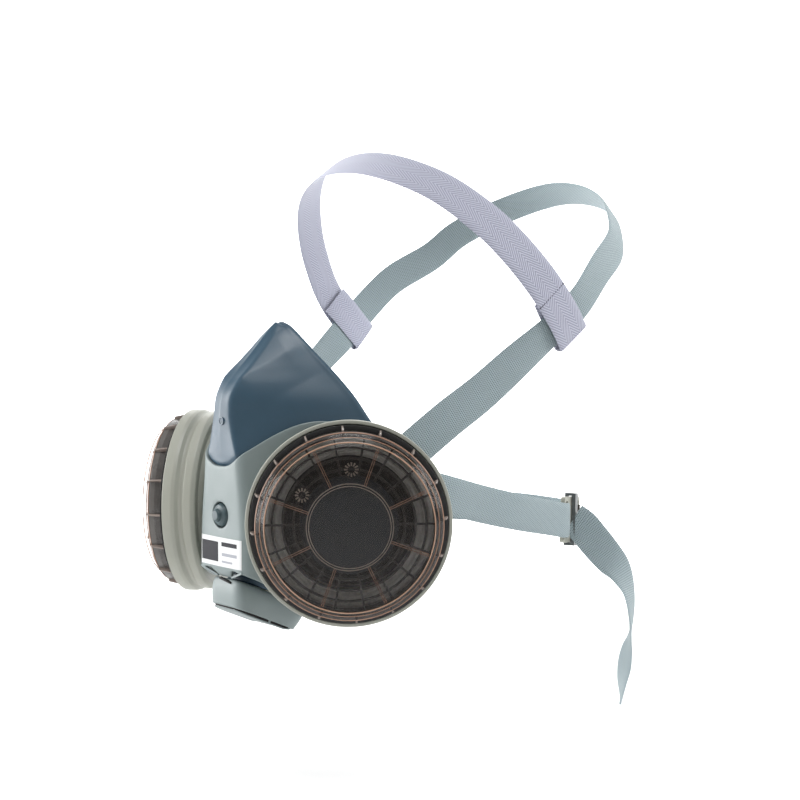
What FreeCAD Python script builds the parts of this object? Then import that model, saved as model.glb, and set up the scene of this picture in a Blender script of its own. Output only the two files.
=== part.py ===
import FreeCAD, Part
import math
import os

import Sketcher
from FreeCAD import Matrix, Placement, Rotation, Vector

# A painter's half-mask respirator with two round side filters, worn on its head straps.
# Millimetres. +Z up, +Y from the mask towards the wearer, +X to the wearer's left.
# The origin is the middle of the opening that seals on the face.

DIMENSIONS = {
    # filter axes: the left one; the right one is its mirror image
    "filter_angle": 52.1, "filter_centre_x": 62.8, "filter_centre_y": -28.7, "filter_centre_z": -20.2,
    "rim_height": 22.2,
    # filter housing, heights from the end of its neck
    "neck_bore": 16.5, "neck_radius": 18.7, "neck_length": 8.6, "neck_depth": 5.0,
    "step_radius": 40.0, "band_radius": 45.0, "groove_radius": 44.4, "rim_radius": 46.0,
    "rim_bore": 44.2, "cup_bore": 42.6, "floor_top": 12.8, "step_top": 11.2, "band_top": 17.2,
    "groove_top": 20.8, "ledge_top": 21.6, "rim_top": 27.2,
    # filter cover, heights from the bottom of its skirt
    "skirt_radius": 43.7, "skirt_bore": 42.1, "skirt_height": 5.7, "ledge_bottom": 4.3,
    "grip_radius": 41.2, "grip_top_radius": 40.7, "grip_top": 13.3, "shoulder_radius": 39.4,
    "shoulder_top": 14.6, "face_radius": 36.5, "face_top": 17.8, "face_wall": 1.4, "cover_lift": -4.8,
    "dome_bore": 35.4, "shoulder_bore": 38.0, "grip_bore": 39.8,
    "fin_count": 16.0, "fin_width": 0.9, "fin_reach": 43.9, "fin_top_reach": 42.4, "rib_count": 8.0,
    "rib_width": 0.9, "rib_depth": 0.8, "rib_turn": 25.3,
    # black sealing ring round the foot of the cover
    "seal_bore": 41.6, "seal_radius": 43.6, "seal_thickness": 0.5, "seal_lift": 0.95,
    # filter grid with its raised middle disc, heights from the grid's back
    "disc_radius": 18.3, "disc_wall": 1.4, "grid_lift": 0.4, "grid_thickness": 1.5, "grid_radius": 38.9,
    "grid_ring_width": 1.0, "grid_ring_count": 4.0, "grid_spoke_count": 18.0, "boss_radius": 20.4,
    "boss_height": 10.4, "grid_leg": 6.3,
    # filter media and gasket
    "media_radius": 42.2, "media_thickness": 8.3, "media_lift": -14.3,
    "gasket_bore": 20.2, "gasket_radius": 24.4, "gasket_thickness": 1.3, "gasket_lift": -20.0,
    # inhalation port: collar, seat and flap, heights from the collar's inner end
    "collar_bore": 19.0, "collar_radius": 22.4, "inner_flange_radius": 25.6, "inner_flange": 1.6,
    "outer_flange_radius": 25.0, "collar_wall_top": 12.6, "collar_top": 14.5, "collar_lift": -34.8,
    "seat_radius": 18.7, "seat_bore": 14.6, "seat_thickness": 1.8, "seat_lift": -34.4,
    "hub_radius": 3.0, "spoke_width": 1.6, "stud_radius": 1.3, "stud_length": 4.6, "knob_radius": 2.3,
    "knob_length": 1.2, "flap_radius": 16.4, "flap_thickness": 0.8, "flap_hole": 1.7, "flap_gap": 0.2,
    # facepiece and front body walls
    "silicone_wall": 2.2, "lip_wall": 1.8, "body_wall": 2.2, "fit_gap": 0.3,
    "pad_radius": 26.4, "port_hole_radius": 22.8, "notch_half_width": 12.0, "notch_floor": 2.9,
    # fit-check button
    "button_z": -20.0, "panel_front": -54.3, "button_radius": 5.5, "button_tip_radius": 2.9,
    "button_skirt": 1.8, "button_height": 4.6, "button_proud": -0.2, "button_bore": 6.1,
    "stem_radius": 2.2, "stem_length": 15.0, "guide_radius": 8.2, "guide_depth": 9.6, "guide_floor": 1.4,
    "stem_hole": 2.6, "guide_hole": 8.6, "spring_radius": 4.2, "spring_wire": 0.7, "spring_turns": 5.0,
    "plate_radius": 7.0, "plate_thickness": 1.4,
    # label
    "label_width": 33.0, "label_height": 13.5, "label_thickness": 0.3, "label_top": -31.3,
    # exhalation valve and its cover
    "outlet_slope": 24.0, "outlet_y": -33.1, "outlet_z": -56.4, "outlet_radius": 13.0,
    "outlet_bore": 10.4, "outlet_depth": 4.4, "outlet_sink": -2.6, "outlet_flap": 11.6,
    "shroud_half_width": 15.0, "shroud_front": -53.0, "shroud_back": -20.2, "shroud_corner": 8.6,
    "shroud_wall": 1.6, "shroud_top": 1.1, "shroud_bottom": 13.3, "shroud_slot": 1.6, "shroud_plate": 1.0,
    "shroud_inset": 0.7, "shroud_rib": 1.1, "shroud_hole": 13.6,
    # strap anchors
    "anchor_wall": 2.2, "rivet_radius": 1.6, "rivet_head": 2.8,
    "anchor_slot_width": 2.6,
    # straps: worn round a head whose cranium is about an ellipsoid
    "elastic_width": 18.0, "elastic_thickness": 1.3, "tape_width": 20.0, "tape_thickness": 1.1,
    "head_y": 98.0, "head_z": 86.0, "head_half_width": 80.0, "head_half_depth": 110.0,
    "head_half_height": 84.0,
    # buckle
    "buckle_x": 46.5, "buckle_y": 136.5, "buckle_z": -34.2, "buckle_turn": 114.3, "buckle_dip": -5.0,
    "buckle_length": 27.0, "buckle_height": 24.0, "buckle_wall": 2.4, "buckle_slot": 3.4,
    "buckle_slot_height": 19.4, "bar_width": 4.4, "bar_height": 22.0, "bar_thickness": 2.0,
    "hook_length": 9.0, "hook_height": 15.0, "hook_thickness": 1.6,
}

doc = FreeCAD.newDocument("respirator")
sheet = doc.addObject("Spreadsheet::Sheet", "Sizes")
for row, (name, value) in enumerate(DIMENSIONS.items(), start=1):
    sheet.set("A%d" % row, name)
    sheet.set("B%d" % row, str(value))
    sheet.setAlias("B%d" % row, name)
doc.recompute()

nodes = []


def size(name):
    return float(getattr(sheet, name))


def amount(terms):
    """The value of a sum of sheet names, such as 'rim_radius - body_wall'."""
    total = 0.0
    sign = 1.0
    for word in terms.split():
        if word in ("+", "-"):
            sign = 1.0 if word == "+" else -1.0
        elif word != "0":
            total += sign * size(word)
    return total


def bound(terms):
    """The same sum as an expression that an object's property can follow."""
    words = [word if word in ("+", "-") else "Sizes." + word for word in terms.split()]
    return " ".join(words)


def keep(item, label, place=None):
    """Registers an object as the sub-part with this label."""
    item.Label = label
    if place is not None:
        item.Placement = place
    nodes.append(item)
    return item


def turned(label, outline, place):
    """A solid of revolution about local Z from (radius, height) pairs of sheet names."""
    body = doc.addObject("PartDesign::Body", label + "_body")
    sketch = body.newObject("Sketcher::SketchObject", label + "_outline")
    plane = next(item for item in body.Origin.OriginFeatures if item.Role == "XZ_Plane")
    sketch.AttachmentSupport = [(plane, "")]
    sketch.MapMode = "FlatFace"
    corners = [Vector(amount(radius), amount(height), 0) for radius, height in outline]
    count = len(corners)
    for index in range(count):
        sketch.addGeometry(Part.LineSegment(corners[index], corners[(index + 1) % count]))
    for index in range(count):
        sketch.addConstraint(Sketcher.Constraint("Coincident", index, 2, (index + 1) % count, 1))
    for index, (radius, height) in enumerate(outline):
        if radius == "0":
            sketch.addConstraint(Sketcher.Constraint("PointOnObject", index, 1, -2))
        else:
            number = sketch.addConstraint(
                Sketcher.Constraint("DistanceX", -1, 1, index, 1, amount(radius)))
            sketch.setExpression("Constraints[%d]" % number, bound(radius))
        if height == "0":
            sketch.addConstraint(Sketcher.Constraint("PointOnObject", index, 1, -1))
        else:
            number = sketch.addConstraint(
                Sketcher.Constraint("DistanceY", -1, 1, index, 1, amount(height)))
            sketch.setExpression("Constraints[%d]" % number, bound(height))
    turn = body.newObject("PartDesign::Revolution", label + "_turn")
    turn.Profile = sketch
    turn.ReferenceAxis = (sketch, ["V_Axis"])
    turn.Angle = 360
    return keep(body, label, place)


def cylinder(name, radius, height):
    item = doc.addObject("Part::Cylinder", name)
    item.setExpression("Radius", bound(radius))
    item.setExpression("Height", bound(height))
    return item


def ring(label, outer, inner, height, place):
    """A plain ring: one cylinder cut from another."""
    cut = doc.addObject("Part::Cut", label + "_ring")
    cut.Base = cylinder(label + "_outer", outer, height)
    cut.Tool = cylinder(label + "_inner", inner, height)
    return keep(cut, label, place)


def feature(label, shape, place=None):
    item = doc.addObject("Part::Feature", label + "_shape")
    item.Shape = shape
    return keep(item, label, place)


def box(x0, x1, y0, y1, z0, z1):
    return Part.makeBox(x1 - x0, y1 - y0, z1 - z0, Vector(x0, y0, z0))


def polygon(points):
    return Part.makePolygon(list(points) + [points[0]])


def mirrored(shape):
    """The shape on the other side of the mask's middle plane."""
    return shape.mirror(Vector(0, 0, 0), Vector(1, 0, 0))


def frame_at(origin, x_axis, y_axis, z_axis):
    return Placement(Matrix(
        x_axis.x, y_axis.x, z_axis.x, origin.x,
        x_axis.y, y_axis.y, z_axis.y, origin.y,
        x_axis.z, y_axis.z, z_axis.z, origin.z,
        0, 0, 0, 1))


def along(place, height):
    """The same placement moved along its own Z."""
    return place.multiply(Placement(Vector(0, 0, height), Rotation()))


def rounded_prism(half_width, front, back, corner, bottom, top):
    """An upright prism on a rectangle with rounded corners."""
    block = box(-half_width, half_width, front, back, bottom, top)
    uprights = [edge for edge in block.Edges if abs(edge.Vertexes[0].Z - edge.Vertexes[1].Z) > 1.0]
    return block.makeFillet(corner, uprights)


# ---------------------------------------------------------------- filter frames

angle = math.radians(size("filter_angle"))
AXIS = Vector(math.sin(angle), -math.cos(angle), 0)
REARWARD = Vector(math.cos(angle), math.sin(angle), 0)
UP = Vector(0, 0, 1)
CENTRE = Vector(size("filter_centre_x"), size("filter_centre_y"), size("filter_centre_z"))


def side_frames():
    """Each side's name and the placement whose Z is that filter's axis, at its rim."""
    left = frame_at(CENTRE, REARWARD, UP, AXIS)
    centre = Vector(-CENTRE.x, CENTRE.y, CENTRE.z)
    axis = Vector(-AXIS.x, AXIS.y, 0)
    rearward = Vector(-REARWARD.x, REARWARD.y, 0)
    right = frame_at(centre, rearward * -1, UP, axis)
    return (("left", left), ("right", right))


def wall_frame():
    """Placement on the left wall of the front body: X rearward, Y up, Z along the filter axis.

    Its origin is the port's centre, level with the face the port collar lands on."""
    return frame_at(CENTRE - AXIS * size("rim_height"), REARWARD, UP, AXIS)


# ---------------------------------------------------------------- facepiece

# Level sections of the silicone cup, from the chin to the nose: height, half-width of the narrow
# front strip, how far forward that strip is, and where the cheek edge ends (x, y).
CUP_SECTIONS = (
    (-71.5, 8.0, -12.8, 13.0, -10.0),
    (-66.0, 10.0, -15.4, 24.0, -7.6),
    (-62.0, 11.0, -21.4, 31.0, -5.0),
    (-55.0, 12.5, -35.6, 38.5, -2.0),
    (-48.6, 13.5, -47.8, 43.5, 1.4),
    (-40.0, 13.5, -50.6, 48.0, 3.6),
    (-20.0, 13.0, -50.6, 52.5, 6.0),
    (-2.0, 11.5, -50.8, 51.5, 4.0),
    (8.0, 11.6, -53.6, 50.0, 2.0),
    (23.0, 8.0, -54.0, 46.0, -1.2),
    (31.0, 6.0, -53.6, 41.0, -3.6),
    (38.0, 6.0, -50.4, 36.0, -6.0),
    (49.4, 5.6, -40.4, 27.0, -10.8),
    (62.0, 4.8, -29.4, 14.5, -18.6),
    (68.6, 2.6, -23.2, 5.0, -20.6),
)
CUP_BULGE = 1.6


def cup_section(section, inset, lip):
    """One level outline of the cup, drawn in by the wall thickness and stopping short of the lip."""
    height, strip, front, cheek_x, cheek_y = section
    back = cheek_y - lip
    crease = Vector(strip - inset * 0.55, front + inset, height)
    cheek = Vector(max(cheek_x - inset * 1.15, 0.8), back, height)
    middle = (crease + cheek) * 0.5 + Vector(CUP_BULGE * AXIS.x, CUP_BULGE * AXIS.y, 0)
    right = [Vector(-p.x, p.y, p.z) for p in (cheek, middle, crease)]
    return polygon(right + [crease, middle, cheek])


def cup_solid(inset, lip, sections):
    return Part.makeLoft([cup_section(section, inset, lip) for section in sections], True, True)


def face_opening():
    """The pear-shaped hole that the nose and mouth go into, as a prism along Y."""
    half = [(0, 57.5), (8.5, 50), (18, 39), (29, 24), (37, 6), (39.5, -14), (36.5, -34), (27, -49),
            (12, -56.6), (0, -58.6)]
    loop = [Vector(x, -9.0, z) for x, z in half] + [Vector(-x, -9.0, z) for x, z in half[-2:0:-1]]
    curve = Part.BSplineCurve()
    curve.interpolate(loop, PeriodicFlag=True)
    face = Part.Face(Part.Wire(curve.toShape()))
    lower = face.extrude(Vector(0, 30, 0))
    nose = Part.makeCylinder(13.0, 40.0, Vector(0, -24.0, 42.0), Vector(0, 1, 0))
    return lower.fuse(nose)


def port_cutter(radius, low, high):
    """A cylinder on the left filter axis between two heights from the body's port face."""
    start = CENTRE + AXIS * (low - size("rim_height"))
    return Part.makeCylinder(radius, high - low, start, AXIS)


def outlet_frame():
    """Placement of the exhalation valve: Z points out, down and a little forward."""
    slope = math.radians(size("outlet_slope"))
    out = Vector(0, -math.sin(slope), -math.cos(slope))
    back = Vector(0, math.cos(slope), -math.sin(slope))
    origin = Vector(0, size("outlet_y"), size("outlet_z"))
    return frame_at(origin, back.cross(out), back, out)


OUTLET = outlet_frame()
OUTLET_AXIS = OUTLET.Rotation.multVec(Vector(0, 0, 1))
outlet_origin = OUTLET.Base
gap = size("fit_gap")


def make_facepiece():
    wall = size("silicone_wall")
    cavity = cup_solid(wall, size("lip_wall"), CUP_SECTIONS[1:-1])
    cup = cup_solid(0.0, 0.0, CUP_SECTIONS).cut(cavity).cut(face_opening())
    port = port_cutter(size("port_hole_radius"), -26.0, 4.0)
    outlet = Part.makeCylinder(
        size("outlet_radius") + gap, 16.0, outlet_origin - OUTLET_AXIS * 8.0, OUTLET_AXIS)
    button = Part.makeCylinder(
        size("guide_hole"), 14.0, Vector(0, -56.0, size("button_z")), Vector(0, 1, 0))
    flange = port_cutter(size("inner_flange_radius") + gap, -14.0, size("inner_flange") - 12.3)
    for cutter in (port, mirrored(port), flange, mirrored(flange), outlet, button):
        cup = cup.cut(cutter)
    return cup


feature("facepiece", make_facepiece())

# ---------------------------------------------------------------- front body

# Level sections of the rigid front: height and half-width of its flat front panel.
BODY_SECTIONS = ((-58.0, 18.0), (-46.0, 17.8), (-27.0, 17.3), (-15.0, 16.2), (-4.0, 14.8), (10.0, 13.6),
                 (28.0, 12.6))
WING_END = (63.0, 9.2)

# The wing's outline on the side wall: distance rearward and height, both from the port's centre.
WING_TOP = ((-47.7, 29.9), (-44.5, 31.7), (-36.4, 36.5), (-30.8, 39.4), (-25.5, 41.7), (-19.5, 43.5),
            (-14.4, 44.1), (-7.3, 43.9), (0.0, 43.2), (11.0, 41.0), (19.0, 34.4), (24.5, 24.4), (28.0, 12.4), (29.0, 0.0), (26.4, -14.0),
            (19.0, -25.0), (7.0, -31.0), (-8.0, -34.0), (-24.0, -34.6), (-35.7, -32.3), (-47.0, -26.0))


def body_section(section, inset):
    height, panel = section
    front = size("panel_front")
    crease = Vector(panel - inset * 0.55, front + inset, height)
    end = Vector(WING_END[0] - inset * AXIS.x, WING_END[1] - inset * AXIS.y, height)
    right = [Vector(-p.x, p.y, p.z) for p in (end, crease)]
    return polygon(right + [crease, end])


def body_solid(inset):
    return Part.makeLoft([body_section(section, inset) for section in BODY_SECTIONS], True, True)


def wing_trimmer():
    """Everything within the left wing's outline, and the front panel's own height."""
    place = wall_frame()
    curve = Part.BSplineCurve()
    curve.interpolate([Vector(x, y, -60.0) for x, y in WING_TOP])
    ends = [Vector(-47.0, -26.0, -60.0), Vector(-75.0, -26.0, -60.0), Vector(-75.0, 29.9, -60.0),
            Vector(-47.7, 29.9, -60.0)]
    lines = [Part.LineSegment(a, b).toShape() for a, b in zip(ends, ends[1:])]
    face = Part.Face(Part.Wire([curve.toShape()] + lines))
    prism = face.extrude(Vector(0, 0, 90))
    prism.Placement = place
    return prism


def front_notch():
    """The round-bottomed notch that the facepiece's tongue fills."""
    half = size("notch_half_width")
    floor = size("notch_floor")
    round_end = Part.makeCylinder(half, 16.0, Vector(0, -62.0, floor + half), Vector(0, 1, 0))
    return round_end.fuse(box(-half, half, -62.0, -46.0, floor + half, 40.0))


def make_front_body():
    wall = size("body_wall")
    cavity = body_solid(wall).fuse(box(-70, 70, 7.0, 30, -70, 40))
    shell = body_solid(0.0).cut(cavity)
    trimmer = wing_trimmer()
    left_half = box(0, 120, -100, 60, -90, 60)
    wing = shell.common(trimmer).common(left_half)
    pad = port_cutter(size("pad_radius") + 1.6, -2.6, 0.0).common(left_half)
    wing = wing.fuse(pad).cut(port_cutter(size("pad_radius"), 0.0, 14.0))
    wing = wing.cut(port_cutter(size("port_hole_radius"), -12.0, 4.0))
    body = wing.fuse(mirrored(wing)).removeSplitter()
    clear_of_cup = cup_solid(-gap, -gap, CUP_SECTIONS)
    button = Part.makeCylinder(
        size("button_bore"), 8.0, Vector(0, -58.0, size("button_z")), Vector(0, 1, 0))
    chamfer = Part.makeCone(
        size("button_bore") + 1.0, size("button_bore"), 1.0,
        Vector(0, size("panel_front"), size("button_z")), Vector(0, 1, 0))
    return body.cut(front_notch()).cut(clear_of_cup).cut(button).cut(chamfer)


feature("front_body", make_front_body())


def make_label():
    item = doc.addObject("Part::Box", "label_box")
    item.setExpression("Length", bound("label_width"))
    item.setExpression("Width", bound("label_thickness"))
    item.setExpression("Height", bound("label_height"))
    corner = Vector(-size("label_width") / 2, size("panel_front") - size("label_thickness"),
                    size("label_top") - size("label_height"))
    keep(item, "label_plate", Placement(corner, Rotation()))


make_label()

# ---------------------------------------------------------------- fit-check button

INWARD = Rotation(Vector(0, 0, 1), Vector(0, 1, 0))
button_face = size("panel_front") + size("body_wall")


def button_place(depth):
    """On the button's axis, Z pointing into the mask, at a depth behind the panel's back face."""
    return Placement(Vector(0, button_face + depth, size("button_z")), INWARD)


cap_length = size("button_skirt") + size("button_height")
turned("fit_check_button", (
    ("0", "0"), ("button_tip_radius", "0"), ("button_radius", "button_height"),
    ("button_radius", "button_height + button_skirt"), ("stem_radius", "button_height + button_skirt"),
    ("stem_radius", "button_height + button_skirt + stem_length"),
    ("0", "button_height + button_skirt + stem_length"),
), button_place(-cap_length - size("button_proud")))

turned("button_guide", (
    ("button_bore", "0"), ("guide_radius", "0"), ("guide_radius", "guide_depth + guide_floor"),
    ("stem_hole", "guide_depth + guide_floor"), ("stem_hole", "guide_depth"), ("button_bore", "guide_depth"),
), button_place(0.0))

ring("fit_check_plate", "plate_radius", "stem_radius", "plate_thickness",
     button_place(size("stem_length") - size("plate_thickness") - size("button_proud")))


def make_button_spring():
    length = size("guide_depth") - 0.6 - size("spring_wire")
    pitch = length / size("spring_turns")
    helix = Part.makeHelix(pitch, length, size("spring_radius"))
    start = Vector(size("spring_radius"), 0, 0)
    section = Part.Wire(Part.makeCircle(size("spring_wire") / 2, start, Vector(0, 1, 0)))
    return Part.Wire(helix).makePipeShell([section], True, True)


feature("button_spring", make_button_spring(), button_place(0.5 + size("spring_wire") / 2))

# ---------------------------------------------------------------- exhalation valve and cover


def spoked_seat(outer, bore, thickness, out_stud):
    """A ring with a cross of spokes and a middle stud that a rubber flap hangs on."""
    seat = Part.makeCylinder(outer, thickness).cut(Part.makeCylinder(bore, thickness))
    half = size("spoke_width") / 2
    for turn in (0, 90):
        spoke = box(-bore - 0.5, bore + 0.5, -half, half, 0, thickness)
        seat = seat.fuse(spoke.rotate(Vector(0, 0, 0), Vector(0, 0, 1), turn))
    seat = seat.fuse(Part.makeCylinder(size("hub_radius"), thickness))
    direction = 1.0 if out_stud else -1.0
    base = thickness if out_stud else 0.0
    axis = Vector(0, 0, direction)
    stud = Part.makeCylinder(size("stud_radius"), size("stud_length"), Vector(0, 0, base), axis)
    tip = Vector(0, 0, base + direction * (size("stud_length") - size("knob_length")))
    knob = Part.makeCone(size("knob_radius"), size("stud_radius"), size("knob_length"), tip, axis)
    return seat.fuse(stud).fuse(knob).removeSplitter()


feature("exhalation_valve_seat", spoked_seat(
    size("outlet_radius"), size("outlet_bore"), size("outlet_depth"), True),
    along(OUTLET, size("outlet_sink")))
ring("exhalation_valve_disc", "outlet_flap", "flap_hole", "flap_thickness",
     along(OUTLET, size("outlet_sink") + size("outlet_depth") + size("flap_gap")))


def shroud_prism(inset):
    """The cover's upright outline, drawn in by an inset."""
    return rounded_prism(
        size("shroud_half_width") - inset, size("shroud_front") + inset, size("shroud_back") - inset,
        size("shroud_corner") - inset, -100, -40)


def slab(low, high):
    """Everything between two heights along the outlet's axis."""
    block = box(-60, 60, -60, 60, low, high)
    block.Placement = OUTLET
    return block


def make_exhalation_cover():
    """An upright duct whose top lies under the mask, with an inner flange round the valve."""
    wall, top = size("shroud_wall"), size("shroud_top")
    duct = shroud_prism(0.0).cut(shroud_prism(wall)).common(slab(top, size("shroud_bottom")))
    hole = Part.makeCylinder(size("shroud_hole"), 12.0)
    hole.Placement = along(OUTLET, -4.0)
    flange = shroud_prism(0.0).common(slab(top, top + wall))
    return duct.fuse(flange).cut(hole).removeSplitter()


def make_cover_plate():
    """The cover's closed bottom, hung under the duct on ribs so that a slot stays open all round."""
    low = size("shroud_bottom") + size("shroud_slot")
    high = low + size("shroud_plate")
    plate = shroud_prism(size("shroud_inset")).common(slab(low, high))
    within = shroud_prism(size("shroud_wall") / 2)
    reach, half = size("shroud_half_width"), size("shroud_rib") / 2
    rib_bottom = size("shroud_bottom") - 1.0
    ribs = [box(x - half, x + half, -26, 26, rib_bottom, low + 0.2) for x in (-6.5, 6.5)]
    ribs.append(box(-reach, reach, -3.8 - half, -3.8 + half, rib_bottom, low + 0.2))
    for rib in ribs:
        rib.Placement = OUTLET
        plate = plate.fuse(rib.common(within))
    return plate.removeSplitter()


feature("exhalation_valve_cover", make_exhalation_cover())
feature("exhalation_cover_plate", make_cover_plate())

# ---------------------------------------------------------------- the two sides

HOUSING = (
    ("neck_bore", "0"), ("neck_radius", "0"), ("neck_radius", "neck_length"),
    ("step_radius", "neck_length"), ("step_radius", "step_top"), ("band_radius", "step_top"),
    ("band_radius", "band_top"), ("groove_radius", "band_top"), ("groove_radius", "groove_top"),
    ("rim_radius", "groove_top"), ("rim_radius", "rim_top"), ("rim_bore", "rim_top"),
    ("rim_bore", "ledge_top"), ("cup_bore", "ledge_top"), ("cup_bore", "floor_top"),
    ("neck_bore", "floor_top"),
)
COVER = (
    ("skirt_bore", "0"), ("skirt_radius", "0"), ("skirt_radius", "skirt_height"),
    ("grip_radius", "skirt_height"), ("grip_top_radius", "grip_top"),
    ("shoulder_radius", "shoulder_top"), ("face_radius", "face_top"), ("0", "face_top"),
    ("0", "face_top - face_wall"), ("dome_bore", "face_top - face_wall"),
    ("shoulder_bore", "grip_top"), ("grip_bore", "ledge_bottom"), ("skirt_bore", "ledge_bottom"),
)
COLLAR = (
    ("collar_bore", "0"), ("inner_flange_radius", "0"), ("inner_flange_radius", "inner_flange"),
    ("collar_radius", "inner_flange"), ("collar_radius", "collar_wall_top"),
    ("outer_flange_radius", "collar_wall_top"), ("outer_flange_radius", "collar_top"),
    ("collar_bore", "collar_top"),
)


def cover_with_fins(label, place):
    """The turned cover, with grip fins round its edge and ribs behind its face."""
    blank = turned(label + "_blank", COVER, Placement())
    nodes.remove(blank)
    doc.recompute()
    shape = blank.Shape
    half = size("fin_width") / 2
    root, foot, top = size("grip_top_radius") - 0.6, size("skirt_height") - 0.3, size("grip_top") - 0.2
    outline = [Vector(root, -half, foot), Vector(size("fin_reach"), -half, foot),
               Vector(size("fin_top_reach"), -half, top), Vector(root, -half, top)]
    for index in range(int(size("fin_count"))):
        fin = Part.Face(polygon(outline)).extrude(Vector(0, 2 * half, 0))
        turn = 4.0 + 360.0 * index / size("fin_count")
        shape = shape.fuse(fin.rotate(Vector(0, 0, 0), Vector(0, 0, 1), turn))
    under = size("face_top") - size("face_wall")
    half = size("rib_width") / 2
    for index in range(int(size("rib_count"))):
        rib = box(size("disc_radius") + 0.6, size("dome_bore") + 0.2, -half, half,
                  under - size("rib_depth"), under + 0.2)
        turn = size("rib_turn") + 360.0 * index / size("rib_count")
        shape = shape.fuse(rib.rotate(Vector(0, 0, 0), Vector(0, 0, 1), turn))
    return feature(label, shape, place)


def make_grid():
    """Open rings and spokes round a raised disc, on a thin skirt that stands on the media."""
    thick, width = size("grid_thickness"), size("grid_ring_width")
    count = int(size("grid_ring_count"))
    step = (size("grid_radius") - size("boss_radius")) / count
    grid = Part.makeCylinder(size("boss_radius"), thick)
    for index in range(count):
        outer = size("boss_radius") + step * (index + 1)
        grid = grid.fuse(Part.makeCylinder(outer, thick).cut(Part.makeCylinder(outer - width, thick)))
    for index in range(int(size("grid_spoke_count"))):
        spoke = box(size("boss_radius") - 1, size("grid_radius") - 0.4, -width / 2, width / 2, 0, thick)
        turn = 360.0 * index / size("grid_spoke_count")
        grid = grid.fuse(spoke.rotate(Vector(0, 0, 0), Vector(0, 0, 1), turn))
    wall = size("disc_wall")
    leg = Part.makeCylinder(size("grid_radius"), size("grid_leg"), Vector(0, 0, -size("grid_leg")))
    leg = leg.cut(Part.makeCylinder(
        size("grid_radius") - width, size("grid_leg"), Vector(0, 0, -size("grid_leg"))))
    grid = grid.fuse(leg)
    boss = Part.makeCone(size("boss_radius"), size("disc_radius"), size("boss_height"))
    hollow = Part.makeCone(size("boss_radius") - wall, size("disc_radius") - wall,
                           size("boss_height") - wall)
    return grid.cut(hollow).fuse(boss.cut(hollow)).removeSplitter()


# The anchor's outline on the side wall, from the port's centre: distance rearward and height.
ANCHOR_OUTLINE = ((12.0, 25.0), (16.0, 35.0), (21.0, 35.0), (32.0, 26.0), (34.5, 23.0), (32.5, 6.0),
                  (27.0, 5.0), (26.0, 10.0), (18.0, 21.0))
# Its two strap slots: middle, lean in degrees and length.
ANCHOR_SLOTS = ((24.6, 24.2, 37.0, 13.0), (30.2, 14.6, -10.0, 14.6))
RIVETS = ((16.6, 25.6), (18.0, 31.6))


def make_anchor():
    wall = size("anchor_wall")
    plate = Part.Face(polygon([Vector(x, y, 0) for x, y in ANCHOR_OUTLINE])).extrude(Vector(0, 0, wall))
    half_width = size("anchor_slot_width") / 2
    for x, y, lean, length in ANCHOR_SLOTS:
        slot = box(-half_width, half_width, -length / 2, length / 2, -1, wall + 1)
        slot.Placement = Placement(Vector(x, y, 0), Rotation(Vector(0, 0, 1), lean))
        plate = plate.cut(slot)
    for x, y in RIVETS:
        plate = plate.cut(Part.makeCylinder(size("rivet_radius") + 0.1, wall, Vector(x, y, 0)))
    plate.Placement = along(wall_frame(), 0.05)
    return plate


def make_rivets():
    rivets = []
    for x, y in RIVETS:
        shank = Part.makeCylinder(size("rivet_radius"), 2.0, Vector(x, y, 0.25))
        head = Part.makeCone(size("rivet_head"), size("rivet_radius"), 0.8, Vector(x, y, 2.3))
        rivets.append(shank.fuse(head))
    group = Part.makeCompound(rivets)
    group.Placement = wall_frame()
    return group


def make_side(side, rim):
    """Everything on one filter axis. The placement's Z is the axis and its origin the rim."""
    turned(side + "_port_collar", COLLAR, along(rim, size("collar_lift")))
    feature(side + "_inhalation_valve_seat",
            spoked_seat(size("seat_radius"), size("seat_bore"), size("seat_thickness"), False),
            along(rim, size("seat_lift")))
    ring(side + "_inhalation_valve_disc", "flap_radius", "flap_hole", "flap_thickness",
         along(rim, size("seat_lift") - size("flap_gap") - size("flap_thickness")))
    ring(side + "_filter_gasket", "gasket_radius", "gasket_bore", "gasket_thickness",
         along(rim, size("gasket_lift")))
    turned(side + "_filter_housing", HOUSING, along(rim, -size("rim_top")))
    ring(side + "_filter_media", "media_radius", "neck_bore", "media_thickness",
         along(rim, size("media_lift")))
    feature(side + "_filter_grid", make_grid(), along(rim, size("grid_lift")))
    cover_with_fins(side + "_filter_cover", along(rim, size("cover_lift")))
    ring(side + "_cover_seal", "seal_radius", "seal_bore", "seal_thickness", along(rim, size("seal_lift")))
    anchor, rivets = make_anchor(), make_rivets()
    if side == "right":
        anchor, rivets = mirrored(anchor), mirrored(rivets)
    feature(side + "_strap_anchor", anchor)
    feature(side + "_anchor_rivets", rivets)


for side, rim in side_frames():
    make_side(side, rim)

# ---------------------------------------------------------------- straps

HEAD = Vector(0, size("head_y"), size("head_z"))
HEAD_SIZE = (size("head_half_width"), size("head_half_depth"), size("head_half_height"))


def on_head(point, lift):
    """The point moved out from the head's centre on to the cranium, plus a lift."""
    offset = Vector(*point) - HEAD
    scaled = math.sqrt(sum((value / half) ** 2 for value, half in zip(offset, HEAD_SIZE)))
    direction = head_normal(point)
    return HEAD + offset * (1.0 / scaled) + direction * lift


def head_normal(point):
    offset = Vector(*point) - HEAD
    normal = Vector(*(value / half ** 2 for value, half in zip(offset, HEAD_SIZE)))
    return normal.normalize()


def neck_normal(point):
    return Vector(point[0], point[1] - size("head_y"), 0).normalize()


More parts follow.
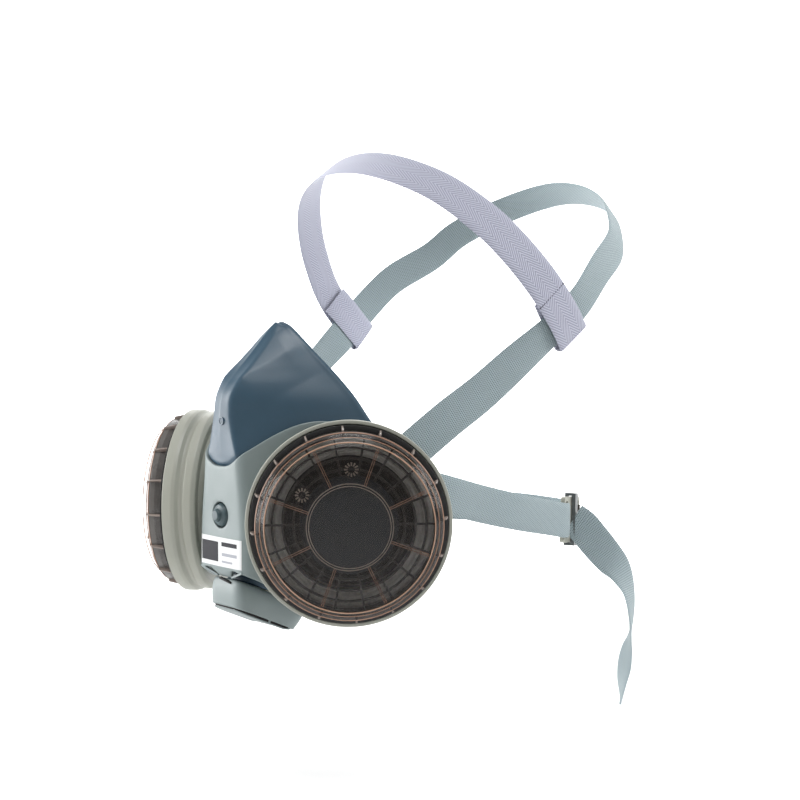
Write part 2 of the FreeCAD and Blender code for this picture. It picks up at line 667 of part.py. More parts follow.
def ribbon(points, normals, width, thickness):
    """A flat band through the points, its face turned to each point's normal."""
    sections = []
    count = len(points)
    for index, (point, hint) in enumerate(zip(points, normals)):
        before, after = points[max(index - 1, 0)], points[min(index + 1, count - 1)]
        tangent = (after - before).normalize()
        across = tangent.cross(hint).normalize()
        normal = across.cross(tangent).normalize()
        side = across * (width / 2)
        rise = normal * (thickness / 2)
        sections.append(polygon([point - side - rise, point + side - rise,
                                 point + side + rise, point - side + rise]))
    return Part.makeLoft(sections, True, True)


def swap_side(points):
    return [Vector(-p.x, p.y, p.z) for p in points]


# Upper strap, left half: two free points off the anchor, then round the cranium to the crown.
UPPER_FREE = ((63.6, 8.4, 11.0), (67.6, 27.0, 24.4), (71.0, 45.0, 36.0), (74.6, 63.0, 49.4))
UPPER_HEAD = ((78, 82, 63.4), (80.5, 94, 72.5), (81, 104, 81), (79, 121, 96), (70, 145, 111),
              (60, 155, 122.5), (45, 166, 132), (23, 175, 140), (0, 178, 143.5))


def make_upper_strap():
    lift = size("elastic_thickness") / 2 + 0.4
    loose = [Vector(*point) for point in UPPER_FREE]
    worn = [on_head(point, lift + 1.0 * (index < 3)) for index, point in enumerate(UPPER_HEAD)]
    half = loose + worn
    normals = [Vector(0.88, -0.42, 0.0), Vector(0.93, -0.3, 0.1), Vector(0.96, -0.2, 0.1),
               Vector(0.98, -0.15, 0.0)]
    normals += [head_normal(point) for point in UPPER_HEAD]
    whole = half + swap_side(half[-2::-1])
    facing = normals + swap_side(normals[-2::-1])
    return ribbon(whole, facing, size("elastic_width"), size("elastic_thickness"))


# Crown tape, left half, from where it loops round the upper strap to the middle of the head.
CROWN_HEAD = ((79.5, 99, 62), (80, 90, 72), (79.9, 76, 87.4), (74.4, 61, 106), (65.7, 49.3, 120.2),
              (51, 37.2, 133.7), (33, 27.7, 142.6), (16, 23.2, 147.2), (0, 21.6, 148.7))
CROWN_LIFT = (4.6, 4.6, 4.2, 2.2, 1.2, 1.0, 1.0, 1.0, 1.0)


def make_crown_strap():
    half = [on_head(point, lift) for point, lift in zip(CROWN_HEAD, CROWN_LIFT)]
    normals = [head_normal(point) for point in CROWN_HEAD]
    whole = half + swap_side(half[-2::-1])
    facing = normals + swap_side(normals[-2::-1])
    return ribbon(whole, facing, size("tape_width"), size("tape_thickness"))


# Lower straps: from each anchor round the jaw and neck to the buckle at the left of the nape.
LOWER_LEFT = ((66.0, 10.6, -6.8), (67.2, 28.0, -11.4), (65.0, 50.0, -17.2), (62.4, 80.0, -24.2),
              (57.4, 108.0, -29.8), (53.2, 121.6, -32.6))
NAPE = ((-62.4, 80.0, -24.2), (-58.0, 108.0, -29.8), (-49.0, 131.0, -33.6), (-34.0, 150.0, -35.4),
        (-14.0, 161.0, -36.2), (8.0, 163.4, -36.8), (25.0, 160.0, -36.8), (35.6, 155.6, -36.3))


def make_lower_strap(points):
    route = [Vector(*point) for point in points]
    normals = [neck_normal(point) if point[1] > 70 else Vector(math.copysign(0.97, point[0]), -0.24, 0)
               for point in points]
    return ribbon(route, normals, size("elastic_width"), size("elastic_thickness"))


# The free end, out of the buckle, over and down beside the neck.
TAIL = ((50.4, 141.4, -35.6), (55.6, 148.6, -38.6), (60.6, 155.0, -45.4), (64.4, 160.6, -56.6),
        (67.0, 164.6, -69.0), (67.8, 166.0, -84.0), (65.8, 164.6, -97.0), (62.8, 162.4, -109.0),
        (62.2, 161.8, -122.0), (63.0, 162.2, -134.0))
TAIL_FACING = ((0.91, -0.2, 0.3), (0.9, -0.1, 0.4), (0.85, 0.3, 0.45), (0.74, 0.6, 0.3),
               (0.68, 0.72, 0.1), (0.68, 0.73, 0.0), (0.7, 0.71, -0.1), (0.7, 0.7, 0.0),
               (0.72, 0.69, 0.0), (0.72, 0.69, 0.0))


def make_tail():
    return ribbon([Vector(*point) for point in TAIL], [Vector(*way) for way in TAIL_FACING],
                  size("elastic_width"), size("elastic_thickness"))


feature("upper_head_strap", make_upper_strap())
feature("crown_strap", make_crown_strap())
feature("left_lower_strap", make_lower_strap(LOWER_LEFT))
RIGHT_RUN = tuple((-x, y, z) for x, y, z in LOWER_LEFT[:3]) + NAPE
feature("right_lower_strap", make_lower_strap(RIGHT_RUN))
feature("lower_strap_tail", make_tail())

# ---------------------------------------------------------------- buckle


def buckle_frame_place():
    """X along the strap towards the nape, Y up, Z away from the neck."""
    turn = math.radians(size("buckle_turn"))
    dip = math.radians(size("buckle_dip"))
    run = Vector(math.cos(turn) * math.cos(dip), math.sin(turn) * math.cos(dip), math.sin(dip))
    out = Vector(math.sin(turn), -math.cos(turn), 0)
    up = out.cross(run).normalize()
    if up.z < 0:
        up = up * -1
    out = run.cross(up)
    origin = Vector(size("buckle_x"), size("buckle_y"), size("buckle_z"))
    return frame_at(origin, run, up, out)


BUCKLE = buckle_frame_place()


def placed(shape, place):
    shape.Placement = place
    return shape


def make_buckle_frame():
    length, height, wall = size("buckle_length") / 2, size("buckle_height") / 2, size("buckle_wall") / 2
    plate = box(-length, length, -height, height, -wall, wall)
    plate = plate.makeFillet(2.2, [e for e in plate.Edges if abs(e.Vertexes[0].Z - e.Vertexes[1].Z) > 1])
    half_slot, slot_height = size("buckle_slot") / 2, size("buckle_slot_height") / 2
    for place in (-9.6, 0.0, 9.6):
        plate = plate.cut(box(place - half_slot, place + half_slot, -slot_height, slot_height, -3, 3))
    return placed(plate, BUCKLE)


def make_buckle_bar():
    """A floating cross bar with a hooked foot over each long edge of the frame."""
    half, reach = size("bar_width") / 2, size("buckle_height") / 2
    low = size("buckle_wall") / 2 + 0.25
    bar = box(-half, half, -reach - 1.9, reach + 1.9, low, low + size("bar_thickness"))
    for way in (-1, 1):
        near, far = sorted((way * (reach + 0.35), way * (reach + 1.9)))
        bar = bar.fuse(box(-half, half, near, far, -low - 1.0, low + 0.5))
        inner, outer = sorted((way * (reach - 1.4), way * (reach + 1.9)))
        bar = bar.fuse(box(-half, half, inner, outer, -low - 1.0, -low))
    return placed(bar.removeSplitter(), BUCKLE)


def make_buckle_hook():
    """The flat hook that joins the right-hand strap to the frame's rear slot."""
    half, thick = size("hook_height") / 2, size("hook_thickness")
    tongue = box(10.2, 10.2 + size("hook_length"), -half, half, -3.0, -3.0 + thick)
    riser = box(9.0, 10.6, -half, half, -3.0, 2.4)
    return placed(tongue.fuse(riser).removeSplitter(), BUCKLE)


feature("buckle_frame", make_buckle_frame())
feature("buckle_bar", make_buckle_bar())
feature("buckle_hook", make_buckle_hook())

# ---------------------------------------------------------------- checks and export

doc.recompute()
for item in doc.Objects:
    if "Invalid" in item.State or "Error" in item.State:
        raise RuntimeError("%s did not recompute: %s" % (item.Label, item.State))
os.makedirs("parts", exist_ok=True)
for node in nodes:
    shape = node.Shape
    if shape.isNull() or not shape.isValid() or shape.Volume <= 0:
        raise RuntimeError("%s has no valid solid" % node.Label)
    shape.exportStep("parts/%s.step" % node.Label)
    span = shape.BoundBox
    print("%-28s %8.0f mm3  x %7.1f %7.1f  y %7.1f %7.1f  z %7.1f %7.1f  solids %d" % (
        node.Label, shape.Volume, span.XMin, span.XMax, span.YMin, span.YMax, span.ZMin, span.ZMax,
        len(shape.Solids)))
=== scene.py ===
import math

import bmesh
import bpy
import numpy as np
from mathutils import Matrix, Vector
from mathutils.geometry import delaunay_2d_cdt


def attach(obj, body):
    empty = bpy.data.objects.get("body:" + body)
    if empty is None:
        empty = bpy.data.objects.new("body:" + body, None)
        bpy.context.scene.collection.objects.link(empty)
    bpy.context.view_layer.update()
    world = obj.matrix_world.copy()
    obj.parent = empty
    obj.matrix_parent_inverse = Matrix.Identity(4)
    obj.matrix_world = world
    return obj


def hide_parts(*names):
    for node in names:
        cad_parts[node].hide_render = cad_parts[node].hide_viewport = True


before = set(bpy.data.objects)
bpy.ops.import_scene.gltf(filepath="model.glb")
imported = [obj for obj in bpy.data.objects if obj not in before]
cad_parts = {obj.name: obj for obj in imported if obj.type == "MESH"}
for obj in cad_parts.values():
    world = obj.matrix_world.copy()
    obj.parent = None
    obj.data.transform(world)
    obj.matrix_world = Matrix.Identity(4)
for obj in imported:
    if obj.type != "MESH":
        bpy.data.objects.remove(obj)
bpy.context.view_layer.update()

MM = 0.001
ANGLE = math.radians(52.1)
AXIS = np.array([math.sin(ANGLE), -math.cos(ANGLE), 0.0])
REAR = np.array([math.cos(ANGLE), math.sin(ANGLE), 0.0])
UP = np.array([0.0, 0.0, 1.0])
RIGHT = np.array([1.0, 0.0, 0.0])
FORWARD = np.array([0.0, -1.0, 0.0])
CENTRE = np.array([62.8, -28.7, -20.2])
MIRROR = np.array([-1.0, 1.0, 1.0])
RIM_HEIGHT = 22.2
SLOPE = math.radians(24.0)
SLOPE_COSINE = 0.914
OUT = np.array([0.0, -math.sin(SLOPE), -math.cos(SLOPE)])
BACK = np.array([0.0, math.cos(SLOPE), -math.sin(SLOPE)])
OUTLET = np.array([0.0, -33.1, -56.4])
BUTTON_HEIGHT = -20.0


# ---------------------------------------------------------------- mesh helpers


def vec(*values):
    return np.array(values, float)


def unit(v):
    v = np.asarray(v, float)
    return v / np.linalg.norm(v, axis=-1, keepdims=True)


def make(name, part, material, body=None, node=None, sharp=None):
    """A smooth mesh piece from (verts, faces) in millimetres.

    node is the CAD node it stands for, and sharp the angle in degrees above which edges stay crisp."""
    verts, faces = part
    mesh = bpy.data.meshes.new(name)
    mesh.from_pydata([tuple(p) for p in np.asarray(verts, float) * MM], [], [tuple(f) for f in faces])
    work = bmesh.new()
    work.from_mesh(mesh)
    bmesh.ops.remove_doubles(work, verts=work.verts, dist=1e-6)
    bmesh.ops.dissolve_degenerate(work, edges=work.edges, dist=1e-8)
    bmesh.ops.recalc_face_normals(work, faces=work.faces)
    work.to_mesh(mesh)
    work.free()
    return finished(name, mesh, material, body, node, sharp)


def finished(name, mesh, material, body, node, sharp):
    """The object of a mesh, with its material, body and the CAD node it stands for."""
    mesh.polygons.foreach_set("use_smooth", [True] * len(mesh.polygons))
    if sharp is not None:
        mesh.set_sharp_from_angle(angle=math.radians(sharp))
    item = bpy.data.objects.new(name, mesh)
    bpy.context.scene.collection.objects.link(item)
    item.data.materials.append(material)
    if body:
        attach(item, body)
    if node:
        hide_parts(node)
    return item


def join_parts(parts):
    """Several (verts, faces) as one."""
    verts, faces, base = [], [], 0
    for part_verts, part_faces in parts:
        verts.append(np.asarray(part_verts, float).reshape(-1, 3))
        faces += [tuple(i + base for i in face) for face in part_faces]
        base += len(verts[-1])
    return np.concatenate(verts), faces


def grid_faces(rows, cols, wrap_rows=False, wrap_cols=False):
    faces = []
    for i in range(rows if wrap_rows else rows - 1):
        for j in range(cols if wrap_cols else cols - 1):
            a, b = i * cols + j, i * cols + (j + 1) % cols
            c, d = ((i + 1) % rows) * cols + (j + 1) % cols, ((i + 1) % rows) * cols + j
            faces.append((a, b, c, d))
    return faces


def rounded(corners, steps=5):
    """A closed 2-D loop with each corner (x, y, radius) rounded off."""
    points = []
    count = len(corners)
    for index, corner in enumerate(corners):
        here = vec(*corner[:2])
        radius = corner[2] if len(corner) > 2 else 0.0
        before, after = vec(*corners[index - 1][:2]), vec(*corners[(index + 1) % count][:2])
        to_before, to_after = before - here, after - here
        reach_before, reach_after = np.linalg.norm(to_before), np.linalg.norm(to_after)
        if radius <= 0 or reach_before < 1e-9 or reach_after < 1e-9:
            points.append(here)
            continue
        to_before, to_after = to_before / reach_before, to_after / reach_after
        turn = math.acos(np.clip(to_before @ to_after, -1, 1))
        cut = min(radius / max(math.tan(turn / 2), 1e-6), reach_before * 0.49, reach_after * 0.49)
        start, end = here + to_before * cut, here + to_after * cut
        for step in range(steps + 1):
            w = step / steps
            points.append((1 - w) ** 2 * start + 2 * w * (1 - w) * here + w ** 2 * end)
    return np.array(points)


def lathe(profile, segments=192):
    """(verts, faces) of a closed (radius, height) loop turned about local Z."""
    profile = np.asarray(profile, float)
    angles = np.arange(segments) * 2 * math.pi / segments
    verts = np.stack([
        np.outer(np.cos(angles), profile[:, 0]), np.outer(np.sin(angles), profile[:, 0]),
        np.tile(profile[:, 1], (segments, 1))], -1).reshape(-1, 3)
    return verts, grid_faces(segments, len(profile), True, True)


def edge_rings(low, high, edge, steps):
    """(inset, height) of the rings that round both rims of a wall from low to high."""
    turns = [(math.pi / 2) * step / steps for step in range(steps + 1)]
    rings = [(edge * (1 - math.sin(turn)), low + edge * (1 - math.cos(turn))) for turn in turns]
    return rings + [(inset, low + high - height) for inset, height in reversed(rings)]


def tube_faces(rows, count):
    """Faces of a tube of rings, closed at both ends."""
    ends = [tuple(range(count)), tuple(range((rows - 1) * count, rows * count))]
    return grid_faces(rows, count, False, True) + ends


def prism(outline, low, high, edge=0.0, steps=3):
    """(verts, faces) of a closed loop raised from low to high, its rims rounded by edge."""
    outline = np.asarray(outline, float)
    normals = loop_normals(outline)
    rings = edge_rings(low, high, edge, steps)
    verts = [np.column_stack([outline - normals * inset, np.full(len(outline), height)])
             for inset, height in rings]
    return np.concatenate(verts), tube_faces(len(rings), len(outline))


def slab(x0, x1, y0, y1, low, high, corner, edge, corner_steps=2, edge_steps=2):
    """(verts, faces) of a box with its upright edges and its rims rounded."""
    outline = [(x0, y0, corner), (x1, y0, corner), (x1, y1, corner), (x0, y1, corner)]
    return prism(rounded(outline, corner_steps), low, high, edge, edge_steps)


def along_path(points):
    """The distance along a path at each of its points."""
    return np.concatenate([[0], np.cumsum(np.linalg.norm(np.diff(points, axis=0), axis=1))])


def loop_normals(loop):
    """Unit normals in the plane, pointing out of a counter-clockwise loop."""
    tangent = np.roll(loop, -1, 0) - np.roll(loop, 1, 0)
    tangent = tangent / np.maximum(np.linalg.norm(tangent, axis=1, keepdims=True), 1e-9)
    normal = np.stack([tangent[:, 1], -tangent[:, 0]], -1)
    area = 0.5 * np.sum(loop[:, 0] * np.roll(loop[:, 1], -1) - np.roll(loop[:, 0], -1) * loop[:, 1])
    return normal if area > 0 else -normal


def spline(points, samples, closed=False):
    """Evenly spaced points on a centripetal Catmull-Rom curve."""
    points = np.asarray(points, float)
    if closed:
        points = np.concatenate([points[-1:], points, points[:2]])
    else:
        points = np.concatenate([2 * points[:1] - points[1:2], points, 2 * points[-1:] - points[-2:-1]])
    dense = []
    for p0, p1, p2, p3 in zip(points, points[1:], points[2:], points[3:]):
        t0 = 0.0
        t1 = t0 + max(np.linalg.norm(p1 - p0), 1e-6) ** 0.5
        t2 = t1 + max(np.linalg.norm(p2 - p1), 1e-6) ** 0.5
        t3 = t2 + max(np.linalg.norm(p3 - p2), 1e-6) ** 0.5
        t = np.linspace(t1, t2, 24, endpoint=False)[:, None]
        a1 = (t1 - t) / (t1 - t0) * p0 + (t - t0) / (t1 - t0) * p1
        a2 = (t2 - t) / (t2 - t1) * p1 + (t - t1) / (t2 - t1) * p2
        a3 = (t3 - t) / (t3 - t2) * p2 + (t - t2) / (t3 - t2) * p3
        b1 = (t2 - t) / (t2 - t0) * a1 + (t - t0) / (t2 - t0) * a2
        b2 = (t3 - t) / (t3 - t1) * a2 + (t - t1) / (t3 - t1) * a3
        dense.append((t2 - t) / (t2 - t1) * b1 + (t - t1) / (t2 - t1) * b2)
    dense = np.concatenate(dense + [points[-2:-1]])
    along = along_path(dense)
    wanted = np.linspace(0, along[-1], samples, endpoint=not closed)
    return np.stack([np.interp(wanted, along, dense[:, k]) for k in range(dense.shape[1])], -1)


def at_parameter(table, wanted):
    """Smooth values of a table (one row per whole number) at fractional rows."""
    table = np.asarray(table, float)
    count = len(table)
    wanted = np.clip(np.asarray(wanted, float), 0, count - 1)
    low = np.minimum(wanted.astype(int), count - 2)
    f = (wanted - low)[:, None]
    p0, p1 = table[np.maximum(low - 1, 0)], table[low]
    p2, p3 = table[low + 1], table[np.minimum(low + 2, count - 1)]
    return 0.5 * (2 * p1 + (p2 - p0) * f + (2 * p0 - 5 * p1 + 4 * p2 - p3) * f ** 2
                  + (3 * p1 - p0 - 3 * p2 + p3) * f ** 3)


def place(part, origin, x_axis, y_axis, z_axis):
    """(verts, faces) moved from a local frame into the row frame."""
    verts, faces = part
    verts = np.asarray(verts, float)
    moved = origin + verts[:, :1] * x_axis + verts[:, 1:2] * y_axis + verts[:, 2:] * z_axis
    return moved, faces


def on_filter(part, side):
    """(verts, faces) from a filter's own frame: Z out along its axis from the rim, Y up."""
    verts, faces = place(part, CENTRE, REAR, UP, AXIS)
    return (verts * (MIRROR if side == "right" else 1.0)), faces


def mirror(part):
    verts, faces = part
    return np.asarray(verts, float) * MIRROR, faces


# ---------------------------------------------------------------- materials


class Shader:
    """A small wrapper for building one Principled material from nodes."""

    def __init__(self, name, color=(0.5, 0.5, 0.5), rough=0.5, **sockets):
        self.material = bpy.data.materials.new(name)
        self.material.use_nodes = True
        self.tree = self.material.node_tree
        self.shader = self.tree.nodes["Principled BSDF"]
        self.set("Base Color", (*color, 1.0))
        self.set("Roughness", rough)
        for key, value in sockets.items():
            self.set(key.replace("_", " "), value)

    def set(self, socket, value):
        self.shader.inputs[socket].default_value = value

    def node(self, kind, inputs=None, **settings):
        node = self.tree.nodes.new(kind)
        for key, value in settings.items():
            setattr(node, key, value)
        for key, value in (inputs or {}).items():
            if isinstance(value, bpy.types.NodeSocket):
                self.tree.links.new(value, node.inputs[key])
            else:
                node.inputs[key].default_value = value
        return node

    def link(self, output, socket):
        self.tree.links.new(output, self.shader.inputs[socket])

    def coords(self, kind="Object"):
        return self.node("ShaderNodeTexCoord").outputs[kind]

    def weave_coords(self):
        """Metres across and along a band."""
        uv = self.node("ShaderNodeSeparateXYZ", {"Vector": self.coords("UV")})
        return uv.outputs["X"], uv.outputs["Y"]

    def wave(self, value, pitch):
        return self.math("COSINE", self.math("MULTIPLY", value, 2 * math.pi / pitch))

    def noise(self, scale, detail=3.0, rough=0.5):
        inputs = {"Scale": scale, "Detail": detail, "Roughness": rough, "Vector": self.coords()}
        return self.node("ShaderNodeTexNoise", inputs).outputs["Fac"]

    def drift(self, scale, detail, color, spread):
        """A faint mottling of the base colour."""
        ends = [(0.3, shade(color, 1 - spread)), (0.7, shade(color, 1 + spread))]
        self.link(self.ramp(self.noise(scale, detail), ends), "Base Color")

    def math(self, operation, a, b=0.0, c=0.5, clamp=False):
        node = self.node("ShaderNodeMath", {0: a, 1: b, 2: c}, operation=operation)
        node.use_clamp = clamp
        return node.outputs[0]

    def ramp(self, value, stops):
        node = self.node("ShaderNodeValToRGB", {"Fac": value})
        elements = node.color_ramp.elements
        while len(elements) < len(stops):
            elements.new(0.5)
        for element, (position, color) in zip(elements, stops):
            element.position = position
            element.color = (*color, 1.0) if len(color) == 3 else color
        return node.outputs["Color"]

    def bump(self, height, strength, distance):
        inputs = {"Height": height, "Strength": strength, "Distance": distance}
        self.link(self.node("ShaderNodeBump", inputs).outputs["Normal"], "Normal")


def shade(color, factor):
    return tuple(min(1.0, c * factor) for c in color)


def moulded(name, color, rough=0.42, grain=1400.0, depth=0.00004, spread=0.06):
    """Moulded plastic or rubber: faint mottling in colour and gloss, a fine spark-eroded grain."""
    s = Shader(name, color, rough)
    s.drift(35.0, 3.0, color, spread)
    s.link(s.math("MULTIPLY_ADD", s.noise(120.0, 2.0), 0.14, rough - 0.07), "Roughness")
    s.bump(s.noise(grain, 2.0), 0.5, depth)
    return s.material


SILICONE = moulded("silicone", (0.024, 0.058, 0.090), 0.41, grain=900.0, depth=0.00003, spread=0.05)
LIGHT_PLASTIC = moulded("light_plastic", (0.165, 0.20, 0.20), 0.5, spread=0.03)
WHITE_PLASTIC = moulded("white_plastic", (0.30, 0.305, 0.262), 0.45, spread=0.03)
SLATE_PLASTIC = moulded("slate_plastic", (0.030, 0.058, 0.066), 0.45)
DARK_PLASTIC = moulded("dark_plastic", (0.035, 0.03, 0.026), 0.5, spread=0.1)
# A lighter copy of the white plastic for the port collar: painted light, so the collar looks lit where it sits in
# shade between the body and the housing.
LIT_COLLAR_WHITE = moulded("collar_white_painted_light", (0.66, 0.66, 0.62), 0.45, spread=0.03)
GASKET = moulded("gasket_rubber", (0.012, 0.012, 0.012), 0.7)
BLACK = moulded("shadow_black", (0.006, 0.006, 0.006), 0.8)
VALVE = moulded("valve_rubber", (0.5, 0.46, 0.36), 0.5)


def smoke_plastic(name, color, rough, alpha):
    """Thin tinted plastic, seen through: a dark film over whatever lies behind."""
    s = Shader(name, color, rough, Alpha=alpha)
    s.drift(30.0, 2.0, color, 0.1)
    return s.material


SMOKE = smoke_plastic("smoke_plastic", (0.020, 0.016, 0.013), 0.12, 0.24)
# Amber and brown for the thin rings on the cover's steps: painted highlight lines. The brown is also the colour of
# the cover ribs.
BROWN_RIB_AND_HIGHLIGHT = moulded("brown_rib_and_painted_highlight", (0.34, 0.19, 0.125), 0.3, spread=0.2)
AMBER_HIGHLIGHT = moulded("amber_painted_highlight", (0.40, 0.24, 0.16), 0.3, spread=0.2)
GRIP = moulded("grip_plastic", (0.105, 0.098, 0.092), 0.3, spread=0.05)
FIN = moulded("fin_plastic", (0.20, 0.165, 0.145), 0.25, spread=0.1)
MARK = moulded("mark_plastic", (0.36, 0.30, 0.25), 0.5)


def satin(name, color, rough):
    """A flat, even plastic with only a faint drift in colour."""
    s = Shader(name, color, rough)
    s.drift(25.0, 2.0, color, 0.05)
    return s.material


DISC_PLASTIC = satin("disc_plastic", (0.016, 0.020, 0.026), 0.7)


def felt(name, color):
    s = Shader(name, color, 0.95)
    fine = s.noise(1500.0, 6.0, 0.7)
    s.link(s.ramp(fine, [(0.25, shade(color, 0.7)), (0.75, shade(color, 1.15))]), "Base Color")
    s.set("Sheen Weight", 0.25)
    s.bump(fine, 0.8, 0.0002)
    return s.material


MEDIA = felt("media_felt", (0.76, 0.74, 0.69))
# Black felt for the middle of the media, out to r 30; past r 28 it is painted shade for the pockets between the grid
# rings.
BLACK_FELT = felt("media_black_felt", (0.02, 0.019, 0.018))


def woven(name, color, dark, pitch_across, pitch_along):
    """A knitted elastic band: short bright floats in rows, offset like brickwork, with dark gaps."""
    s = Shader(name, color, 0.85)
    across, along = s.weave_coords()
    row = s.math("DIVIDE", along, pitch_along)
    shift = s.math("MULTIPLY", s.math("MODULO", s.math("FLOOR", row), 2.0), 0.5)
    column = s.math("ADD", s.math("DIVIDE", across, pitch_across), shift)
    floats = s.math("MULTIPLY_ADD", s.wave(column, 1.0), 0.3, 0.52)
    height = s.math("ADD", floats, s.math("MULTIPLY", s.wave(row, 1.0), 0.22))
    fuzz = s.math("SUBTRACT", s.noise(2600.0, 3.0, 0.6), 0.5)
    height = s.math("ADD", height, s.math("MULTIPLY", fuzz, 0.35), clamp=True)
    s.link(s.ramp(height, [(0.05, dark), (0.45, shade(color, 0.92)), (0.9, shade(color, 1.18))]), "Base Color")
    s.set("Sheen Weight", 0.2)
    s.set("Sheen Roughness", 0.5)
    s.bump(height, 0.7, 0.00022)
    return s.material


ELASTIC = woven("elastic_weave", (0.245, 0.305, 0.325), (0.075, 0.10, 0.108), 0.00095, 0.00112)


def herringbone(name, color, dark):
    """Cotton tape: diagonal twill that turns back on itself in columns."""
    s = Shader(name, color, 0.9)
    across, along = s.weave_coords()
    zigzag = s.math("PINGPONG", s.math("DIVIDE", across, 0.0098), 0.5)
    slant = s.math("ADD", s.math("MULTIPLY", zigzag, 0.0155), along)
    height = s.math("MULTIPLY_ADD", s.wave(slant, 0.0021), 0.30, 0.5)
    height = s.math("ADD", height, s.math("MULTIPLY", s.wave(across, 0.00055), 0.10))
    fuzz = s.math("SUBTRACT", s.noise(2200.0, 4.0, 0.65), 0.5)
    height = s.math("ADD", height, s.math("MULTIPLY", fuzz, 0.4), clamp=True)
    s.link(s.ramp(height, [(0.1, dark), (0.5, color), (0.9, shade(color, 1.35))]), "Base Color")
    s.set("Sheen Weight", 0.25)
    s.bump(height, 0.6, 0.0002)
    return s.material


TAPE = herringbone("tape_weave", (0.335, 0.345, 0.42), (0.19, 0.195, 0.25))
THREAD = felt("dark_thread", (0.10, 0.10, 0.13))
INK = moulded("label_ink", (0.022, 0.022, 0.027), 0.85)
FAINT_INK = moulded("label_faint_ink", (0.24, 0.25, 0.28), 0.6)
PAPER = moulded("label_film", (0.52, 0.53, 0.53), 0.35, spread=0.01)
BUCKLE_GREY = moulded("buckle_grey", (0.07, 0.08, 0.083), 0.4)


def spring_steel():
    s = Shader("spring_steel", (0.55, 0.55, 0.56), 0.3, Metallic=1.0)
    s.bump(s.noise(2000.0, 2.0), 0.3, 0.00002)
    return s.material


STEEL = spring_steel()

# ---------------------------------------------------------------- facepiece

# Rows from the peak to the chin. Each has the middle of the front strip (y, z), the crease beside it
# (x, y, z), the cheek edge (x, y, z) and how far the side bulges between them.
CUP_ROWS = [
    # front y, z     crease x, y, z        cheek x, y, z            bulge
    (-22.6, 69.6, 0.0, -21.8, 69.6, 0.0, -20.6, 69.2, 0.0),
    (-24.6, 67.6, 2.8, -23.4, 67.6, 5.2, -20.4, 67.4, 0.1),
    (-28.6, 63.6, 4.2, -27.6, 63.2, 9.8, -19.8, 64.0, 0.2),
    (-34.0, 57.8, 4.8, -32.8, 57.0, 15.2, -18.2, 59.0, 0.2),
    (-40.0, 51.4, 5.4, -38.8, 50.4, 20.0, -16.0, 54.0, 0.2),
    (-45.4, 45.8, 5.9, -44.0, 45.2, 25.2, -13.2, 48.4, 0.5),
    (-50.4, 40.2, 6.2, -49.0, 39.8, 31.0, -9.8, 41.4, 1.3),
    (-53.6, 34.4, 6.3, -52.4, 34.2, 36.6, -6.8, 34.2, 1.7),
    (-54.6, 27.6, 6.9, -53.4, 27.4, 41.4, -4.2, 26.6, 1.8),
    (-54.6, 21.0, 8.1, -53.6, 21.0, 45.4, -2.0, 20.0, 1.8),
    (-54.4, 13.6, 10.2, -53.6, 13.6, 48.4, 0.2, 12.0, 1.8),
    (-54.2, 7.0, 12.2, -53.5, 7.0, 50.2, 1.6, 4.0, 1.8),
    (-53.8, 2.2, 12.8, -53.0, 2.0, 51.4, 2.8, -3.0, 1.8),
    (-51.4, -2.0, 12.8, -50.8, -2.0, 52.2, 3.6, -9.0, 1.8),
    (-50.9, -12.0, 12.8, -50.4, -12.0, 52.2, 4.0, -19.0, 1.8),
    (-50.9, -24.0, 13.4, -50.4, -24.0, 50.6, 3.2, -31.0, 1.8),
    (-50.9, -36.0, 13.8, -50.2, -36.0, 46.8, 1.2, -42.0, 1.8),
    (-49.6, -45.6, 14.0, -47.6, -46.6, 42.6, -1.2, -50.0, 1.6),
    (-40.8, -51.4, 13.4, -38.6, -52.4, 36.0, -4.0, -56.6, 1.2),
    (-29.4, -57.4, 12.4, -28.0, -58.2, 28.4, -7.0, -62.6, 0.9),
    (-19.4, -63.0, 10.8, -18.6, -63.4, 19.4, -9.8, -67.6, 0.5),
    (-15.0, -68.2, 7.6, -14.6, -68.4, 10.0, -11.8, -70.6, 0.2),
    (-13.6, -71.4, 0.0, -13.2, -71.4, 0.0, -12.0, -71.6, 0.0),
]
SILICONE_WALL = 2.1
BORE_RADIUS = 22.6


